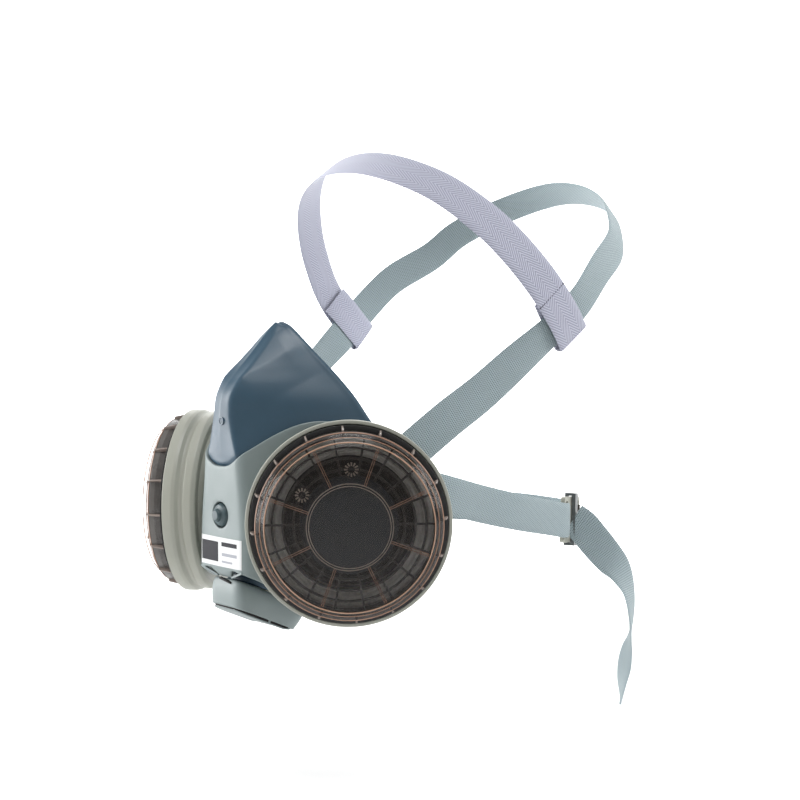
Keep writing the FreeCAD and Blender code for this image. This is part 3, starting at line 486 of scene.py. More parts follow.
def facepiece():
    table = np.array(CUP_ROWS)
    last = len(table) - 1
    fine = np.concatenate([
        np.linspace(0, 1, 8, endpoint=False) ** 1.3, np.linspace(1, 4, 26, endpoint=False),
        np.linspace(4, 7, 40, endpoint=False), np.linspace(7, 10, 22, endpoint=False),
        np.linspace(10, 14, 44, endpoint=False), np.linspace(14, last - 1, 46, endpoint=False),
        last - np.linspace(1, 0, 9) ** 1.3])
    values = at_parameter(table, fine)
    values[0, [2, 5]] = values[-1, [2, 5]] = 0.0
    values[:, [2, 5]] = np.maximum(values[:, [2, 5]], 0.0)
    rows = len(values)
    front = np.column_stack([np.zeros(rows), values[:, 0], values[:, 1]])
    crease, cheek, bulge = values[:, 2:5], values[:, 5:8], values[:, 8]
    # the crease is rounded off by a quadratic curve with its corner at the crease point
    strip = np.linspace(0, 1, 7)
    outer = []
    for i in range(rows):
        f, c, r = front[i], crease[i], cheek[i]
        across, back = np.linalg.norm(c - f), np.linalg.norm(r - c)
        cut_f = min(1.8, across * 0.45)
        cut_r = min(2.2, back * 0.45)
        a = f + (c - f) * (1 - cut_f / max(across, 1e-6))
        b = c + (r - c) * (cut_r / max(back, 1e-6))
        flat = [f + (a - f) * w for w in strip]
        turn = [(1 - w) ** 2 * a + 2 * w * (1 - w) * c + w * w * b for w in np.linspace(0, 1, 7)[1:]]
        side = [b + (r - b) * w + AXIS * bulge[i] * math.sin(math.pi * w) * (1 if 0 < i < rows - 1 else 0)
                for w in np.linspace(0, 1, 22)[1:]]
        outer.append(flat + turn + side)
    outer = np.array(outer)
    cols = outer.shape[1]
    # a shallow gutter where the tongue dips under the rigid body's notch
    notch = spline([(16.0, 9.7), (14.0, 8.0), (11.6, 6.4), (8.6, 4.4), (4.6, 3.1), (0, 2.7)], 60)
    flat_xz = outer[:, :, [0, 2]].reshape(-1, 2)
    gap = np.min(np.linalg.norm(flat_xz[:, None] - notch[None], axis=2), axis=1).reshape(rows, cols)
    on_front = outer[:, :, 1] < -49.0
    outer[:, :, 1] += np.where(on_front, 1.0 * np.exp(-(gap / 0.9) ** 2), 0.0)

    # the moulded fold that runs up from the crease to the cheek, with a flatter facet above it
    low, high = vec(5.7, -46.0, 43.5), vec(16.5, -18.6, 60.0)
    span = high - low
    t = np.clip((outer - low) @ span / (span @ span), -0.4, 1.0)
    gap = np.linalg.norm(outer - low - t[..., None] * span, axis=2)
    above = (outer - low - t[..., None] * span) @ UP > 0
    tent = np.clip(1 - np.sqrt(gap ** 2 + 0.3) / np.where(above, 13.0, 17.0), 0, 1)
    ends = np.clip(1 + t / 0.4, 0, 1) * np.clip((1.05 - t) / 0.3, 0, 1)
    weight = 2.0 * tent * ends * np.clip(outer[..., 0] / 5.0, 0, 1)
    outer = outer + weight[..., None] * unit(vec(0.68, -0.56, 0.42))

    along = np.gradient(outer, axis=0)
    across = np.gradient(outer, axis=1)
    normal = np.cross(across, along)
    length = np.linalg.norm(normal, axis=2, keepdims=True)
    normal = normal / np.maximum(length, 1e-9)
    ridge = unit(np.cross(vec(1, 0, 0), outer[0][-1] - outer[0][0]))
    normal[0] = ridge if ridge[2] > 0 else -ridge
    chin = unit(np.cross(vec(1, 0, 0), outer[-1][-1] - outer[-1][0]))
    normal[-1] = chin if chin[2] < 0 else -chin
    normal[:, 0, 0] = 0.0
    normal = unit(normal)
    if normal[rows // 2, cols - 4] @ AXIS < 0:
        normal[1:-1] = -normal[1:-1]

    # the cheek edge: out to a bead, over it, and in along a soft lip that lies on the face
    rim = outer[:, -1]
    run = unit(np.gradient(rim, axis=0))
    outward = np.column_stack([run[:, 2], np.zeros(rows), -run[:, 0]])
    outward = unit(np.where((outward[:, :1] < 0), -outward, outward))
    outward[0], outward[-1] = vec(0, 0, 1), vec(0, 0, -1)
    rear = vec(0, 1, 0)
    bead = [(0.28, 0.35), (0.48, 0.8), (0.62, 1.4), (0.72, 2.0), (0.68, 2.6), (0.42, 3.15), (-0.1, 3.5),
            (-1.0, 3.7)]
    lip_out = [(-3.0, 3.9), (-5.0, 3.8), (-7.0, 3.2), (-9.0, 2.2), (-10.6, 1.0), (-11.6, 0.0)]
    lip_end = [(-12.0, -0.6), (-11.9, -1.1), (-11.3, -1.2)]
    lip_in = [(-10.0, -0.4), (-8.4, 0.8), (-6.6, 1.7), (-4.8, 2.1), (-3.2, 1.7)]
    edge = [rim + outward * a + rear * b for a, b in bead + lip_out + lip_end + lip_in]

    inner = outer - normal * SILICONE_WALL
    inner[[0, -1], :, 0] = 0.0
    inner[:, 0, 0] = 0.0
    inner[:, :, 0] = np.maximum(inner[:, :, 0], 0.0)
    inner = inner[:, :-1][:, ::-1]
    half = np.concatenate([outer, np.stack(edge, 1), inner], axis=1)
    half[[0, -1], :, 0] = 0.0
    half[:, :, 0] = np.maximum(half[:, :, 0], 0.0)
    return half, grid_faces(rows, half.shape[1])


def bored(half, faces):
    """Moves wall points near the port's edge on to it and drops the faces inside."""
    verts = half.reshape(-1, 3).copy()
    base = CENTRE - AXIS * RIM_HEIGHT
    offset = verts - base
    height = offset @ AXIS
    x, y = offset @ REAR, offset @ UP
    reach = np.hypot(x, y)
    deep = (height > -26) & (height < 6) & (verts[:, 0] > 8)
    inside = deep & (reach < BORE_RADIUS)
    near = deep & (np.abs(reach - BORE_RADIUS) < 1.2)
    scale = np.where(near, BORE_RADIUS / np.maximum(reach, 1e-6), 1.0)
    verts += ((scale - 1) * x)[:, None] * REAR + ((scale - 1) * y)[:, None] * UP
    inside &= ~near
    kept = [f for f in faces if not any(inside[i] for i in f)]
    return verts, kept


half, cup_faces = facepiece()
cup_verts, cup_faces = bored(half, cup_faces)
away = cup_verts - OUTLET
side_reach = np.linalg.norm(away - (away @ OUT)[:, None] * OUT, axis=1)
in_outlet = (side_reach < 12.4) & (np.abs(away @ OUT) < 8)
in_button = (np.hypot(cup_verts[:, 0], cup_verts[:, 2] - BUTTON_HEIGHT) < 8.4) & (cup_verts[:, 1] < -40)
cup_faces = [f for f in cup_faces if not any(in_outlet[i] or in_button[i] for i in f)]
cup = join_parts([(cup_verts, cup_faces), (cup_verts * MIRROR, cup_faces)])
make("facepiece_silicone", cup, SILICONE, "mask", "facepiece", sharp=62)

# ---------------------------------------------------------------- rigid front body

PANEL = np.array([(-58.0, 18.0), (-46.0, 17.8), (-27.0, 17.3), (-15.0, 16.2), (-4.0, 14.8), (10.0, 13.6),
                  (28.0, 12.6)])
PANEL_FRONT = -54.6
PORT_RADIUS = 22.9
BODY_WALL = 2.2
WING_END = vec(63.0, 9.2)


def body_point(a, z):
    """A point of the bent front sheet from its unrolled position: a across from the middle, z up."""
    side = np.sign(a)
    a = np.abs(a)
    w = np.interp(z, PANEL[:, 0], PANEL[:, 1])
    crease = np.stack([w, np.full_like(w, PANEL_FRONT)], -1)
    back = unit(WING_END - crease)
    soft = 3.4
    flat = np.stack([a, np.full_like(a, PANEL_FRONT)], -1)
    wing = crease + back * (a - w)[..., None]
    t = np.clip((a - w + soft) / (2 * soft), 0, 1)[..., None]
    start = crease - vec(1, 0) * soft
    end = crease + back * soft
    turn = (1 - t) ** 2 * start + 2 * t * (1 - t) * crease + t ** 2 * end
    xy = np.where((a < w - soft)[..., None], flat, np.where((a > w + soft)[..., None], wing, turn))
    # a slight crown in the panel and in the wings
    crown = 0.5 * (a / np.maximum(w, 1e-6)) ** 2 * (a < w) + 0.5 * (a >= w)
    tuck = 0.7 * np.maximum(-45.0 - z, 0.0) * (a < 12)
    return np.stack([xy[..., 0] * np.where(side == 0, 1, side), xy[..., 1] + crown + tuck, z], -1)


def unrolled(point):
    """The unrolled position of a point on the left wing."""
    w = np.interp(point[2], PANEL[:, 0], PANEL[:, 1])
    return w + math.hypot(point[0] - w, point[1] - PANEL_FRONT), point[2]


def on_wall(u, v):
    """A point on the wing's wall from the port's centre: distance rearward and height."""
    return CENTRE - AXIS * RIM_HEIGHT + REAR * u + UP * v


def plate(loops, surface, thick, edge, spacing, steps=3):
    """(verts, faces) of a sheet cut to closed loops (the first is the outside) and bent on to a surface.

    The surface function maps (a, b) arrays to points. Both rims of every loop are rounded."""
    samples = []
    for index, loop in enumerate(loops):
        normals = loop_normals(loop)
        samples.append((loop, normals if index == 0 else -normals))
    inset_loops = [loop - normals * edge for loop, normals in samples]
    low, high = inset_loops[0].min(0), inset_loops[0].max(0)
    xs = np.arange(low[0] + spacing / 2, high[0], spacing)
    ys = np.arange(low[1] + spacing / 2, high[1], spacing * 0.866)
    dots = np.array([(x + (k % 2) * spacing / 2, y) for k, y in enumerate(ys) for x in xs])
    keep = inside_loop(dots, inset_loops[0])
    for hole in inset_loops[1:]:
        keep &= ~inside_loop(dots, hole)
    dots = dots[keep]
    border = np.concatenate(inset_loops)
    distance = np.full(len(dots), 1e9)
    for chunk in range(0, len(dots), 2000):
        part = dots[chunk:chunk + 2000]
        distance[chunk:chunk + 2000] = np.min(np.linalg.norm(part[:, None] - border[None], axis=2), axis=1)
    dots = dots[distance > spacing * 0.55]
    flat = np.concatenate([border, dots])
    edges, base = [], 0
    for loop in inset_loops:
        count = len(loop)
        edges += [(base + k, base + (k + 1) % count) for k in range(count)]
        base += count
    points, _, triangles, _, _, _ = delaunay_2d_cdt([Vector(p) for p in flat], edges, [], 0, 1e-6)
    points = np.array([tuple(p) for p in points])
    middles = np.array([points[list(t)].mean(0) for t in triangles])
    keep = inside_loop(middles, inset_loops[0])
    for hole in inset_loops[1:]:
        keep &= ~inside_loop(middles, hole)
    triangles = [tuple(t) for t, k in zip(triangles, keep) if k]

    def lifted(ab, depth):
        a, b = ab[:, 0], ab[:, 1]
        here = surface(a, b)
        step = 0.05
        across = surface(a + step, b) - surface(a - step, b)
        up = surface(a, b + step) - surface(a, b - step)
        normal = unit(np.cross(across, up))
        return here - normal * np.asarray(depth)[:, None]

    parts = [(lifted(points, np.zeros(len(points))), triangles),
             (lifted(points, np.full(len(points), thick)), [t[::-1] for t in triangles])]
    for loop, normals in samples:
        rings = edge_rings(0.0, thick, edge, steps)
        rows = [lifted(loop - normals * inset, np.full(len(loop), depth)) for inset, depth in rings]
        parts.append((np.concatenate(rows), grid_faces(len(rings), len(loop), False, True)))
    return join_parts(parts)


def inside_loop(points, loop):
    """Which points lie inside a closed loop."""
    inside = np.zeros(len(points), bool)
    x, y = points[:, 0], points[:, 1]
    for (x0, y0), (x1, y1) in zip(loop, np.roll(loop, -1, 0)):
        crosses = (y0 > y) != (y1 > y)
        with np.errstate(divide="ignore", invalid="ignore"):
            meet = (x1 - x0) * (y - y0) / (y1 - y0) + x0
        inside ^= crosses & (x < meet)
    return inside


def circle(centre, radius, count=96):
    angles = np.arange(count) * 2 * math.pi / count
    return np.column_stack([centre[0] + radius * np.cos(angles), centre[1] + radius * np.sin(angles)])


WING_EDGE = [(16.2, -52.6, 9.8), (18.0, -50.2, 11.5), (22.9, -43.8, 16.3), (26.3, -39.4, 19.2),
             (29.6, -35.2, 21.5), (33.3, -30.5, 23.2), (36.4, -26.4, 23.9), (40.8, -20.8, 23.7)]
WING_BACK = [(0.0, 43.2), (11.0, 41.0), (19.0, 34.4), (24.5, 24.4), (28.0, 12.4), (29.0, 0.0), (26.4, -14.0),
             (19.0, -25.0), (7.0, -31.0), (-8.0, -34.0), (-24.0, -34.4), (-35.7, -31.6), (-43.0, -28.2)]


def body_outline():
    right = [(0.0, 2.7), (4.4, 3.0), (8.6, 4.4), (11.6, 6.2), (14.0, 8.0)]
    right += [unrolled(vec(*p)) for p in WING_EDGE]
    right += [unrolled(on_wall(u, v)) for u, v in WING_BACK]
    right += [(17.4, -46.2), (10.0, -45.4), (8.2, -45.6), (6.6, -47.0), (4.6, -49.0), (0.0, -49.4)]
    curve = spline(right, 340)
    left = curve[1:-1][::-1] * vec(-1, 1)
    return np.concatenate([curve, left])[::-1]


def port_loop():
    """The round port on the wing, in unrolled positions."""
    angles = np.arange(96) * 2 * math.pi / 96
    loop = []
    for angle in angles:
        loop.append(unrolled(on_wall(PORT_RADIUS * math.cos(angle), PORT_RADIUS * math.sin(angle))))
    return np.array(loop)


port = port_loop()
outline = body_outline()
button_hole = circle((0, BUTTON_HEIGHT), 6.1, 72)
body_sheet = plate([outline, port, port * vec(-1, 1), button_hole], body_point, BODY_WALL, 0.55, 1.6)
struts = []
for side in (-1, 1):
    near, far = vec(side * 16.6, -53.9, -45.2), vec(side * 5.6, -51.9, -48.9)
    ring = [vec(0, -0.5, 0.45), vec(0, 0.5, 0.45), vec(0, 0.5, -0.45), vec(0, -0.5, -0.45)]
    loops = [near + (far - near) * w for w in np.linspace(0, 1, 7)]
    rows = np.array([[at + corner for corner in ring] for at in loops]).reshape(-1, 3)
    struts.append((rows, grid_faces(7, 4, False, True) + [(0, 1, 2, 3), (24, 25, 26, 27)]))
make("front_body_shell", join_parts([body_sheet] + struts), LIGHT_PLASTIC, "mask", "front_body",
     sharp=48)
emblem = rounded([(1.3, -0.4, 0.05), (1.9, -0.4, 0.05), (1.9, 0.22, 0.1), (1.3, 0.22, 0.1)], 2)
emblem = place(lathe(emblem, 40), vec(1.4, PANEL_FRONT, 23.7), RIGHT, UP, FORWARD)
make("facepiece_mark", emblem, SILICONE, "mask", sharp=40)

# ---------------------------------------------------------------- label, button


def round_button(profile):
    """A closed (radius, height) loop turned about the button's axis; height is out of the front panel."""
    return place(lathe(profile, 96), vec(0, PANEL_FRONT, BUTTON_HEIGHT), RIGHT, UP, FORWARD)


def on_panel(part, proud):
    """(verts, faces) in (x, z, lift) laid on the crowned panel."""
    verts, faces = part
    verts = np.asarray(verts, float)
    base = body_point(verts[:, 0], verts[:, 1])
    return np.column_stack([base[:, 0], base[:, 1] - proud - verts[:, 2], base[:, 2]]), faces


def sticker():
    xs = np.linspace(-16.5, 16.5, 45)
    levels = [(-43.9, 0.0)] + [(z, 0.12) for z in np.linspace(-43.9, -30.4, 5)] + [(-30.4, 0.0)]
    rows = [np.column_stack([xs, np.full(len(xs), z), np.full(len(xs), lift)]) for z, lift in levels]
    return np.concatenate(rows), grid_faces(len(rows), len(xs))


make("label_sticker", on_panel(sticker(), 0.02), PAPER, "mask", "label_plate", sharp=40)


def bar(x0, x1, z0, z1):
    """A plain printed bar."""
    xs = np.linspace(x0, x1, max(2, int((x1 - x0) / 1.0) + 2))
    rows = [np.column_stack([xs, np.full(len(xs), z), np.full(len(xs), 0.03)]) for z in (z0, z1)]
    return np.concatenate(rows), grid_faces(2, len(xs))


BARS = [("label_block", [bar(-15.6, -1.4, -41.9, -32.6)], INK), ("label_line", [bar(1.2, 13.2, -34.4, -32.4)], INK),
        ("label_faint_lines", [bar(1.4, 13.2, -38.9, -37.4), bar(1.4, 9.8, -42.0, -41.0)], FAINT_INK)]
for name, bars, material in BARS:
    make(name, on_panel(join_parts(bars), 0.13), material, "mask")

button_profile = rounded([(0, 3.0, 0), (2.2, 3.0, 0.4), (2.8, 2.4, 0.4), (3.0, 1.3, 0.4), (4.8, 0.5, 0.8),
                          (5.5, -0.9, 0.5), (5.5, -2.0, 0.3), (2.2, -2.0, 0), (2.2, -17.2, 0.3), (0, -17.2, 0)])
make("fit_check_button_cap", round_button(button_profile), SLATE_PLASTIC, "button",
     "fit_check_button", sharp=50)
well = rounded([(6.1, -2.2, 0), (8.2, -2.2, 0.2), (8.2, -13.2, 0.6), (2.6, -13.2, 0.2), (2.6, -11.9, 0),
                (6.1, -11.9, 0.6)])
make("button_guide_cup", round_button(well), LIGHT_PLASTIC, "mask", "button_guide", sharp=50)

# ---------------------------------------------------------------- filters

HOUSING = rounded([
    (16.5, -27.2, 0.3), (18.7, -27.2, 0.5), (18.7, -18.7, 0.8), (38.6, -18.3, 1.2), (40.4, -16.3, 0.8),
    (43.6, -16.0, 1.4), (45.0, -14.0, 1.6), (44.9, -10.4, 1.2), (43.9, -9.2, 1.2), (43.9, -7.6, 1.0),
    (45.6, -6.2, 1.0), (46.0, -4.6, 0.8), (46.0, -0.2, 0.45), (44.3, 0.0, 0.45), (44.2, -5.4, 0.3),
    (42.7, -5.6, 0.3), (42.6, -14.3, 1.0), (16.5, -14.4, 0.5)], 5)
COVER = rounded([
    (42.2, -4.8, 0.3), (43.6, -4.8, 0.4), (43.6, 0.9, 0.3), (41.5, 0.9, 0.3), (41.2, 7.6, 0.5),
    (40.9, 8.5, 0.4), (39.6, 9.7, 0.4), (38.6, 10.6, 0.4), (37.6, 12.2, 0.5),
    (36.4, 13.0, 0.8), (30.0, 13.7, 2.0), (20.0, 14.2, 3.0),
    (0.0, 14.5, 0), (0.0, 13.1, 0), (20.0, 12.9, 3.0), (30.0, 12.5, 2.0), (35.2, 11.9, 0.8), (36.6, 10.6, 0.6),
    (37.6, 8.9, 0.6), (39.4, 7.6, 0.6), (39.8, -0.3, 0.5), (42.2, -0.5, 0.3)], 5)
# Thin rings on the cover's step edges, in bright colours: painted highlight lines.
EDGE_HIGHLIGHT_RING = rounded([(36.85, 12.5, 0.12), (37.2, 12.3, 0.12), (37.45, 12.7, 0.12), (37.05, 12.95, 0.12)], 3)
MIDDLE_HIGHLIGHT_RING = rounded([(38.9, 10.0, 0.1), (39.15, 9.8, 0.1), (39.3, 10.1, 0.1), (39.05, 10.3, 0.1)], 3)
OUTER_HIGHLIGHT_RING = rounded([(40.9, 8.5, 0.15), (41.25, 8.1, 0.15), (41.4, 8.4, 0.15), (41.1, 8.75, 0.15)], 3)
GRIP_BAND = rounded([(40.1, 0.95, 0.1), (41.3, 0.95, 0.1), (41.3, 7.5, 0.3), (40.95, 8.6, 0.3),
                     (39.9, 8.5, 0.1)], 4)
SEAL = rounded([(41.6, 0.95, 0.1), (43.9, 0.95, 0.2), (43.9, 1.45, 0.2), (41.6, 1.45, 0.1)], 3)
DISC = rounded([(0, 10.8, 0), (17.6, 10.8, 0.3), (17.9, 10.3, 0.2), (18.5, 10.2, 0.3), (19.0, 9.6, 0.4),
                (20.6, 2.0, 0.3), (21.9, 1.9, 0.3), (21.9, 0.5, 0.2), (18.9, 0.5, 0.2), (16.9, 9.4, 0.4),
                (0, 9.4, 0)], 4)
DISC_RING = rounded([(17.7, 10.75, 0.12), (18.1, 10.7, 0.12), (18.1, 11.0, 0.12), (17.75, 11.05, 0.12)], 3)
DISC_RING_TWO = rounded([(18.7, 10.2, 0.12), (19.1, 9.9, 0.12), (19.2, 10.2, 0.12), (18.8, 10.45, 0.12)], 3)
COLLAR = rounded([(19.0, -34.8, 0.3), (25.6, -34.8, 0.5), (25.6, -33.2, 0.5), (22.4, -33.2, 0.3),
                  (22.4, -22.25, 0.2), (25.0, -22.25, 0.3), (25.0, -20.3, 0.6), (19.0, -20.3, 0.5)], 4)


def spun(part, degrees):
    verts, faces = part
    c, s = math.cos(math.radians(degrees)), math.sin(math.radians(degrees))
    verts = np.asarray(verts, float)
    return np.column_stack([verts[:, 0] * c - verts[:, 1] * s, verts[:, 0] * s + verts[:, 1] * c,
                            verts[:, 2]]), faces


def fin(outer_low, outer_high, inner_low, inner_high, low, high, half):
    """(verts, faces) of a thin radial fin whose outer edge slopes."""
    outline = rounded([(inner_low, low, 0.1), (outer_low, low, 0.35), (outer_high, high, 0.5),
                       (inner_high, high, 0.1)], 3)
    verts, faces = prism(outline, -half, half, min(0.14, half * 0.4), 2)
    return np.column_stack([verts[:, 0], verts[:, 2], verts[:, 1]]), faces


def grip_fins():
    """Sixteen thin fins across the dark groove round the cover's grip wall."""
    return join_parts([spun(fin(43.9, 42.5, 41.0, 40.7, 1.0, 8.3, 0.42), 4.0 + 22.5 * k) for k in range(16)])


def fin_slot_shades():
    """A dark pad on the shoulder behind each fin: painted shade for the slot recessed there."""
    slot = prism(rounded([(39.2, -0.55, 0.2), (41.0, -0.4, 0.2), (41.0, 0.4, 0.2), (39.2, 0.55, 0.2)], 2),
                 8.9, 9.25, 0.1, 2)
    return join_parts([spun(slot, 4.0 + 22.5 * k) for k in range(16)])


def cover_ribs():
    parts = []
    for k in range(8):
        for y in (-0.42, 0.42):
            parts.append(spun(slab(19.0, 36.4, y - 0.13, y + 0.13, 11.5, 12.2, 0.05, 0.05, 1, 1), 25.3 + 45 * k))
    return join_parts(parts)


def grid_bars():
    """The open grid over the media: rings and spokes."""
    parts = []
    for k in range(4):
        radius = 24.6 + 4.75 * k
        ring = rounded([(radius - 0.5, 0.4, 0.1), (radius + 0.5, 0.4, 0.1), (radius + 0.5, 1.9, 0.25),
                        (radius - 0.5, 1.9, 0.25)], 2)
        parts.append(lathe(ring, 144))
    parts.append(lathe(rounded([(38.4, -5.9, 0.1), (39.4, -5.9, 0.1), (39.4, 0.5, 0.1), (38.4, 0.5, 0.1)], 2), 144))
    for k in range(18):
        parts.append(spun(slab(20.0, 39.2, -0.45, 0.45, 0.45, 1.8, 0.1, 0.12), 20 * k))
    return join_parts(parts)


def mould_marks():
    """Two small moulding date rings: twelve ticks in a ring, with no lettering."""
    parts = []
    for x, y in ((0.9, 24.4), (-20.8, 13.2)):
        for k in range(12):
            tick = prism(rounded([(1.6, -0.3, 0.05), (3.2, -0.42, 0.05), (3.2, 0.42, 0.05), (1.6, 0.3, 0.05)], 1),
                         2.0, 2.25, 0.03, 1)
            verts, faces = spun(tick, 30 * k)
            parts.append((verts + vec(x, y, 0), faces))
    return join_parts(parts)


def media_rings(low, high, inner, outer, waves):
    """Felt with shallow concentric waves on its front."""
    top = [(radius, high + 0.35 * math.cos((radius - inner) * 2 * math.pi / waves))
           for radius in np.linspace(inner, outer, 60)]
    return [(inner, low)] + top + [(outer, low)]


def seat_and_spokes(outer, bore, thick, turned=False):
    """A valve seat: ring, cross of spokes, hub and stud; turned points the stud the other way."""
    parts = [lathe(rounded([(bore, 0, 0.3), (outer, 0, 0.3), (outer, thick, 0.3), (bore, thick, 0.3)], 3), 96)]
    for turn in (0, 90, 180, 270):
        parts.append(spun(slab(2.4, bore + 0.3, -0.8, 0.8, 0.1, thick - 0.1, 0.1, 0.2), turn))
    hub = [(0, 0, 0), (3.0, 0, 0.3), (3.0, thick, 0.3), (1.3, thick, 0.1), (1.3, thick + 3.4, 0.1),
           (2.3, thick + 3.6, 0.2), (1.4, thick + 4.6, 0.3), (0, thick + 4.6, 0)]
    parts.append(lathe(rounded(hub, 3), 48))
    verts, faces = join_parts(parts)
    if turned:
        verts = verts * vec(1, 1, -1) + vec(0, 0, thick)
    return verts, faces


def flap(radius, thick):
    return lathe(rounded([(1.7, 0, 0.1), (radius * 0.6, 0.05, 1.0), (radius, 0.0, 0.1), (radius, thick * 0.6, 0.2),
                          (radius * 0.6, thick, 1.0), (1.7, thick, 0.2)], 3), 96)


def raised(part, lift):
    return part[0] + vec(0, 0, lift), part[1]


FILTER_GASKET = rounded([(20.2, -20.05, 0.4), (24.4, -20.05, 0.4), (24.4, -18.75, 0.4), (20.2, -18.75, 0.4)], 4)
SIDE_PIECES = [
    # name, part, material, body, slot, CAD node, sharp angle
    ("housing_shell", lathe(HOUSING, 224), WHITE_PLASTIC, "filter", "white_plastic", "filter_housing", 40),
    ("cover_lens", lathe(COVER, 224), SMOKE, "cover", "smoke_plastic", "filter_cover", 35),
    ("cover_grip_band", lathe(GRIP_BAND, 224), GRIP, "cover", "smoke_plastic", None, 40),
    # the next three rings are painted highlight lines on the cover's steps
    ("cover_edge_highlight_ring", lathe(EDGE_HIGHLIGHT_RING, 224), AMBER_HIGHLIGHT, "cover", "smoke_plastic", None, 40),
    ("cover_middle_highlight_ring", lathe(MIDDLE_HIGHLIGHT_RING, 224), BROWN_RIB_AND_HIGHLIGHT, "cover", "smoke_plastic", None, 40),
    ("cover_outer_highlight_ring", lathe(OUTER_HIGHLIGHT_RING, 224), BROWN_RIB_AND_HIGHLIGHT, "cover", "smoke_plastic", None, 40),
    ("cover_fins", grip_fins(), FIN, "cover", "smoke_plastic", None, 40),
    # dark pads behind the fins: painted shade
    ("cover_fin_slots", fin_slot_shades(), DARK_PLASTIC, "cover", "smoke_plastic", None, 40),
    ("cover_seal_ring", lathe(SEAL, 224), GASKET, "cover", "gasket_rubber", "cover_seal", 40),
    ("cover_ribs", cover_ribs(), BROWN_RIB_AND_HIGHLIGHT, "cover", "smoke_plastic", None, 40),
    ("grid_bars", grid_bars(), DARK_PLASTIC, "filter", "dark_plastic", "filter_grid", 40),
    ("grid_disc", lathe(DISC, 160), DISC_PLASTIC, "filter", "dark_plastic", None, 40),
    ("grid_disc_rings", join_parts([lathe(DISC_RING, 160), lathe(DISC_RING_TWO, 160)]), MARK, "filter",
     "dark_plastic", None, 40),
    ("mould_marks", mould_marks(), MARK, "filter", "dark_plastic", None, 40),
    ("media_felt", lathe(media_rings(-14.2, -6.4, 30.2, 42.3, 2.4), 160), MEDIA, "filter", "media",
     "filter_media", 80),
    # the black felt reaches r 30: past r 28 it paints the shade in the pockets between the grid rings
    ("media_core", lathe(media_rings(-14.2, -11.0, 16.6, 30.0, 3.0), 160), BLACK_FELT, "filter", "media", None, 80),
    ("gasket_ring", lathe(FILTER_GASKET, 96), GASKET, "filter", "gasket_rubber", "filter_gasket", 40),
    # the collar takes the lighter copy of the white plastic: painted light
    ("collar", lathe(COLLAR, 128), LIT_COLLAR_WHITE, "mask", "white_plastic", "port_collar", 40),
    ("inhalation_seat", raised(seat_and_spokes(18.7, 14.6, 1.8, True), -34.4), WHITE_PLASTIC, "mask",
     "white_plastic", "inhalation_valve_seat", 40),
    ("inhalation_flap_disc", raised(flap(16.4, 0.8), -35.4), VALVE, "inhalation_flap", "valve_rubber",
     "inhalation_valve_disc", 40),
]
for side in ("left", "right"):
    for name, part, material, body, slot, node, sharp in SIDE_PIECES:
        make(f"{side}_{name}", on_filter(part, side), material, body if body == "mask" else f"{side}_{body}",
             node and f"{side}_{node}", sharp=sharp)

# ---------------------------------------------------------------- strap anchors

ANCHOR = [(12.0, 25.0), (16.0, 35.0), (21.0, 35.0), (32.0, 26.0), (34.5, 23.0), (32.5, 6.0), (27.0, 5.0),
          (26.0, 10.0), (18.0, 21.0)]


def slot_loop(x, y, half_length, half_width, lean):
    outline = rounded([(-half_width, -half_length, half_width), (half_width, -half_length, half_width),
                       (half_width, half_length, half_width), (-half_width, half_length, half_width)], 5)
    c, s = math.cos(math.radians(lean)), math.sin(math.radians(lean))
    return np.column_stack([outline[:, 0] * c - outline[:, 1] * s + x, outline[:, 0] * s + outline[:, 1] * c + y])


def wall_surface(lift):
    def surface(u, v):
        base = CENTRE - AXIS * (RIM_HEIGHT - lift)
        return base + np.asarray(u)[..., None] * REAR + np.asarray(v)[..., None] * UP
    return surface


for side in ("left", "right"):
    outline = rounded([(x, y, 1.6) for x, y in ANCHOR], 5)
    outline = spline(outline, 160, closed=True)
    anchor = plate([outline, slot_loop(24.6, 24.2, 6.5, 1.3, 37.0), slot_loop(30.2, 14.6, 7.3, 1.3, -10.0)],
                   wall_surface(2.3), 2.2, 0.4, 1.2)
    rivets = join_parts([
        place(lathe(rounded([(0, 0.9, 0), (1.6, 0.8, 0.5), (2.8, 0.0, 0.3), (0, 0.0, 0)], 4), 32),
              CENTRE - AXIS * (RIM_HEIGHT - 2.3) + REAR * x + UP * y, REAR, UP, AXIS)
        for x, y in ((16.6, 25.6), (18.0, 31.6))])
    if side == "right":
        anchor, rivets = mirror(anchor), mirror(rivets)
    make(side + "_anchor_plate", anchor, LIGHT_PLASTIC, "mask", side + "_strap_anchor", sharp=45)
    make(side + "_rivet_heads", rivets, WHITE_PLASTIC, "mask", side + "_anchor_rivets", sharp=45)

# ---------------------------------------------------------------- exhalation valve and cover

def on_outlet(part):
    """(verts, faces) from the outlet's own frame: Z out along its axis, Y towards the face."""
    return place(part, OUTLET, np.cross(BACK, OUT), BACK, OUT)


def shroud_point(loop, lift):
    """Points of an upright loop (x, y) cut by the sloping plane at a height along the outlet's axis."""
    plane = (OUTLET + OUT * lift) @ OUT
    z = (plane - loop[:, 1] * OUT[1]) / OUT[2]
    return np.column_stack([loop[:, 0], loop[:, 1], z])


def shroud_loop(inset, back):
    corner = 9.4 - min(inset, 4.0)
    return rounded([(-15.0 + inset, -53.0 + inset, corner), (15.0 - inset, -53.0 + inset, corner),
                    (15.0 - inset, back - inset, corner), (-15.0 + inset, back - inset, corner)], 14)


def shroud_back(lift):
    """The duct's rear wall leans forward towards its foot."""
    return -20.2 + 0.72 * min(max(14.6 - lift, 0.0), 8.6)


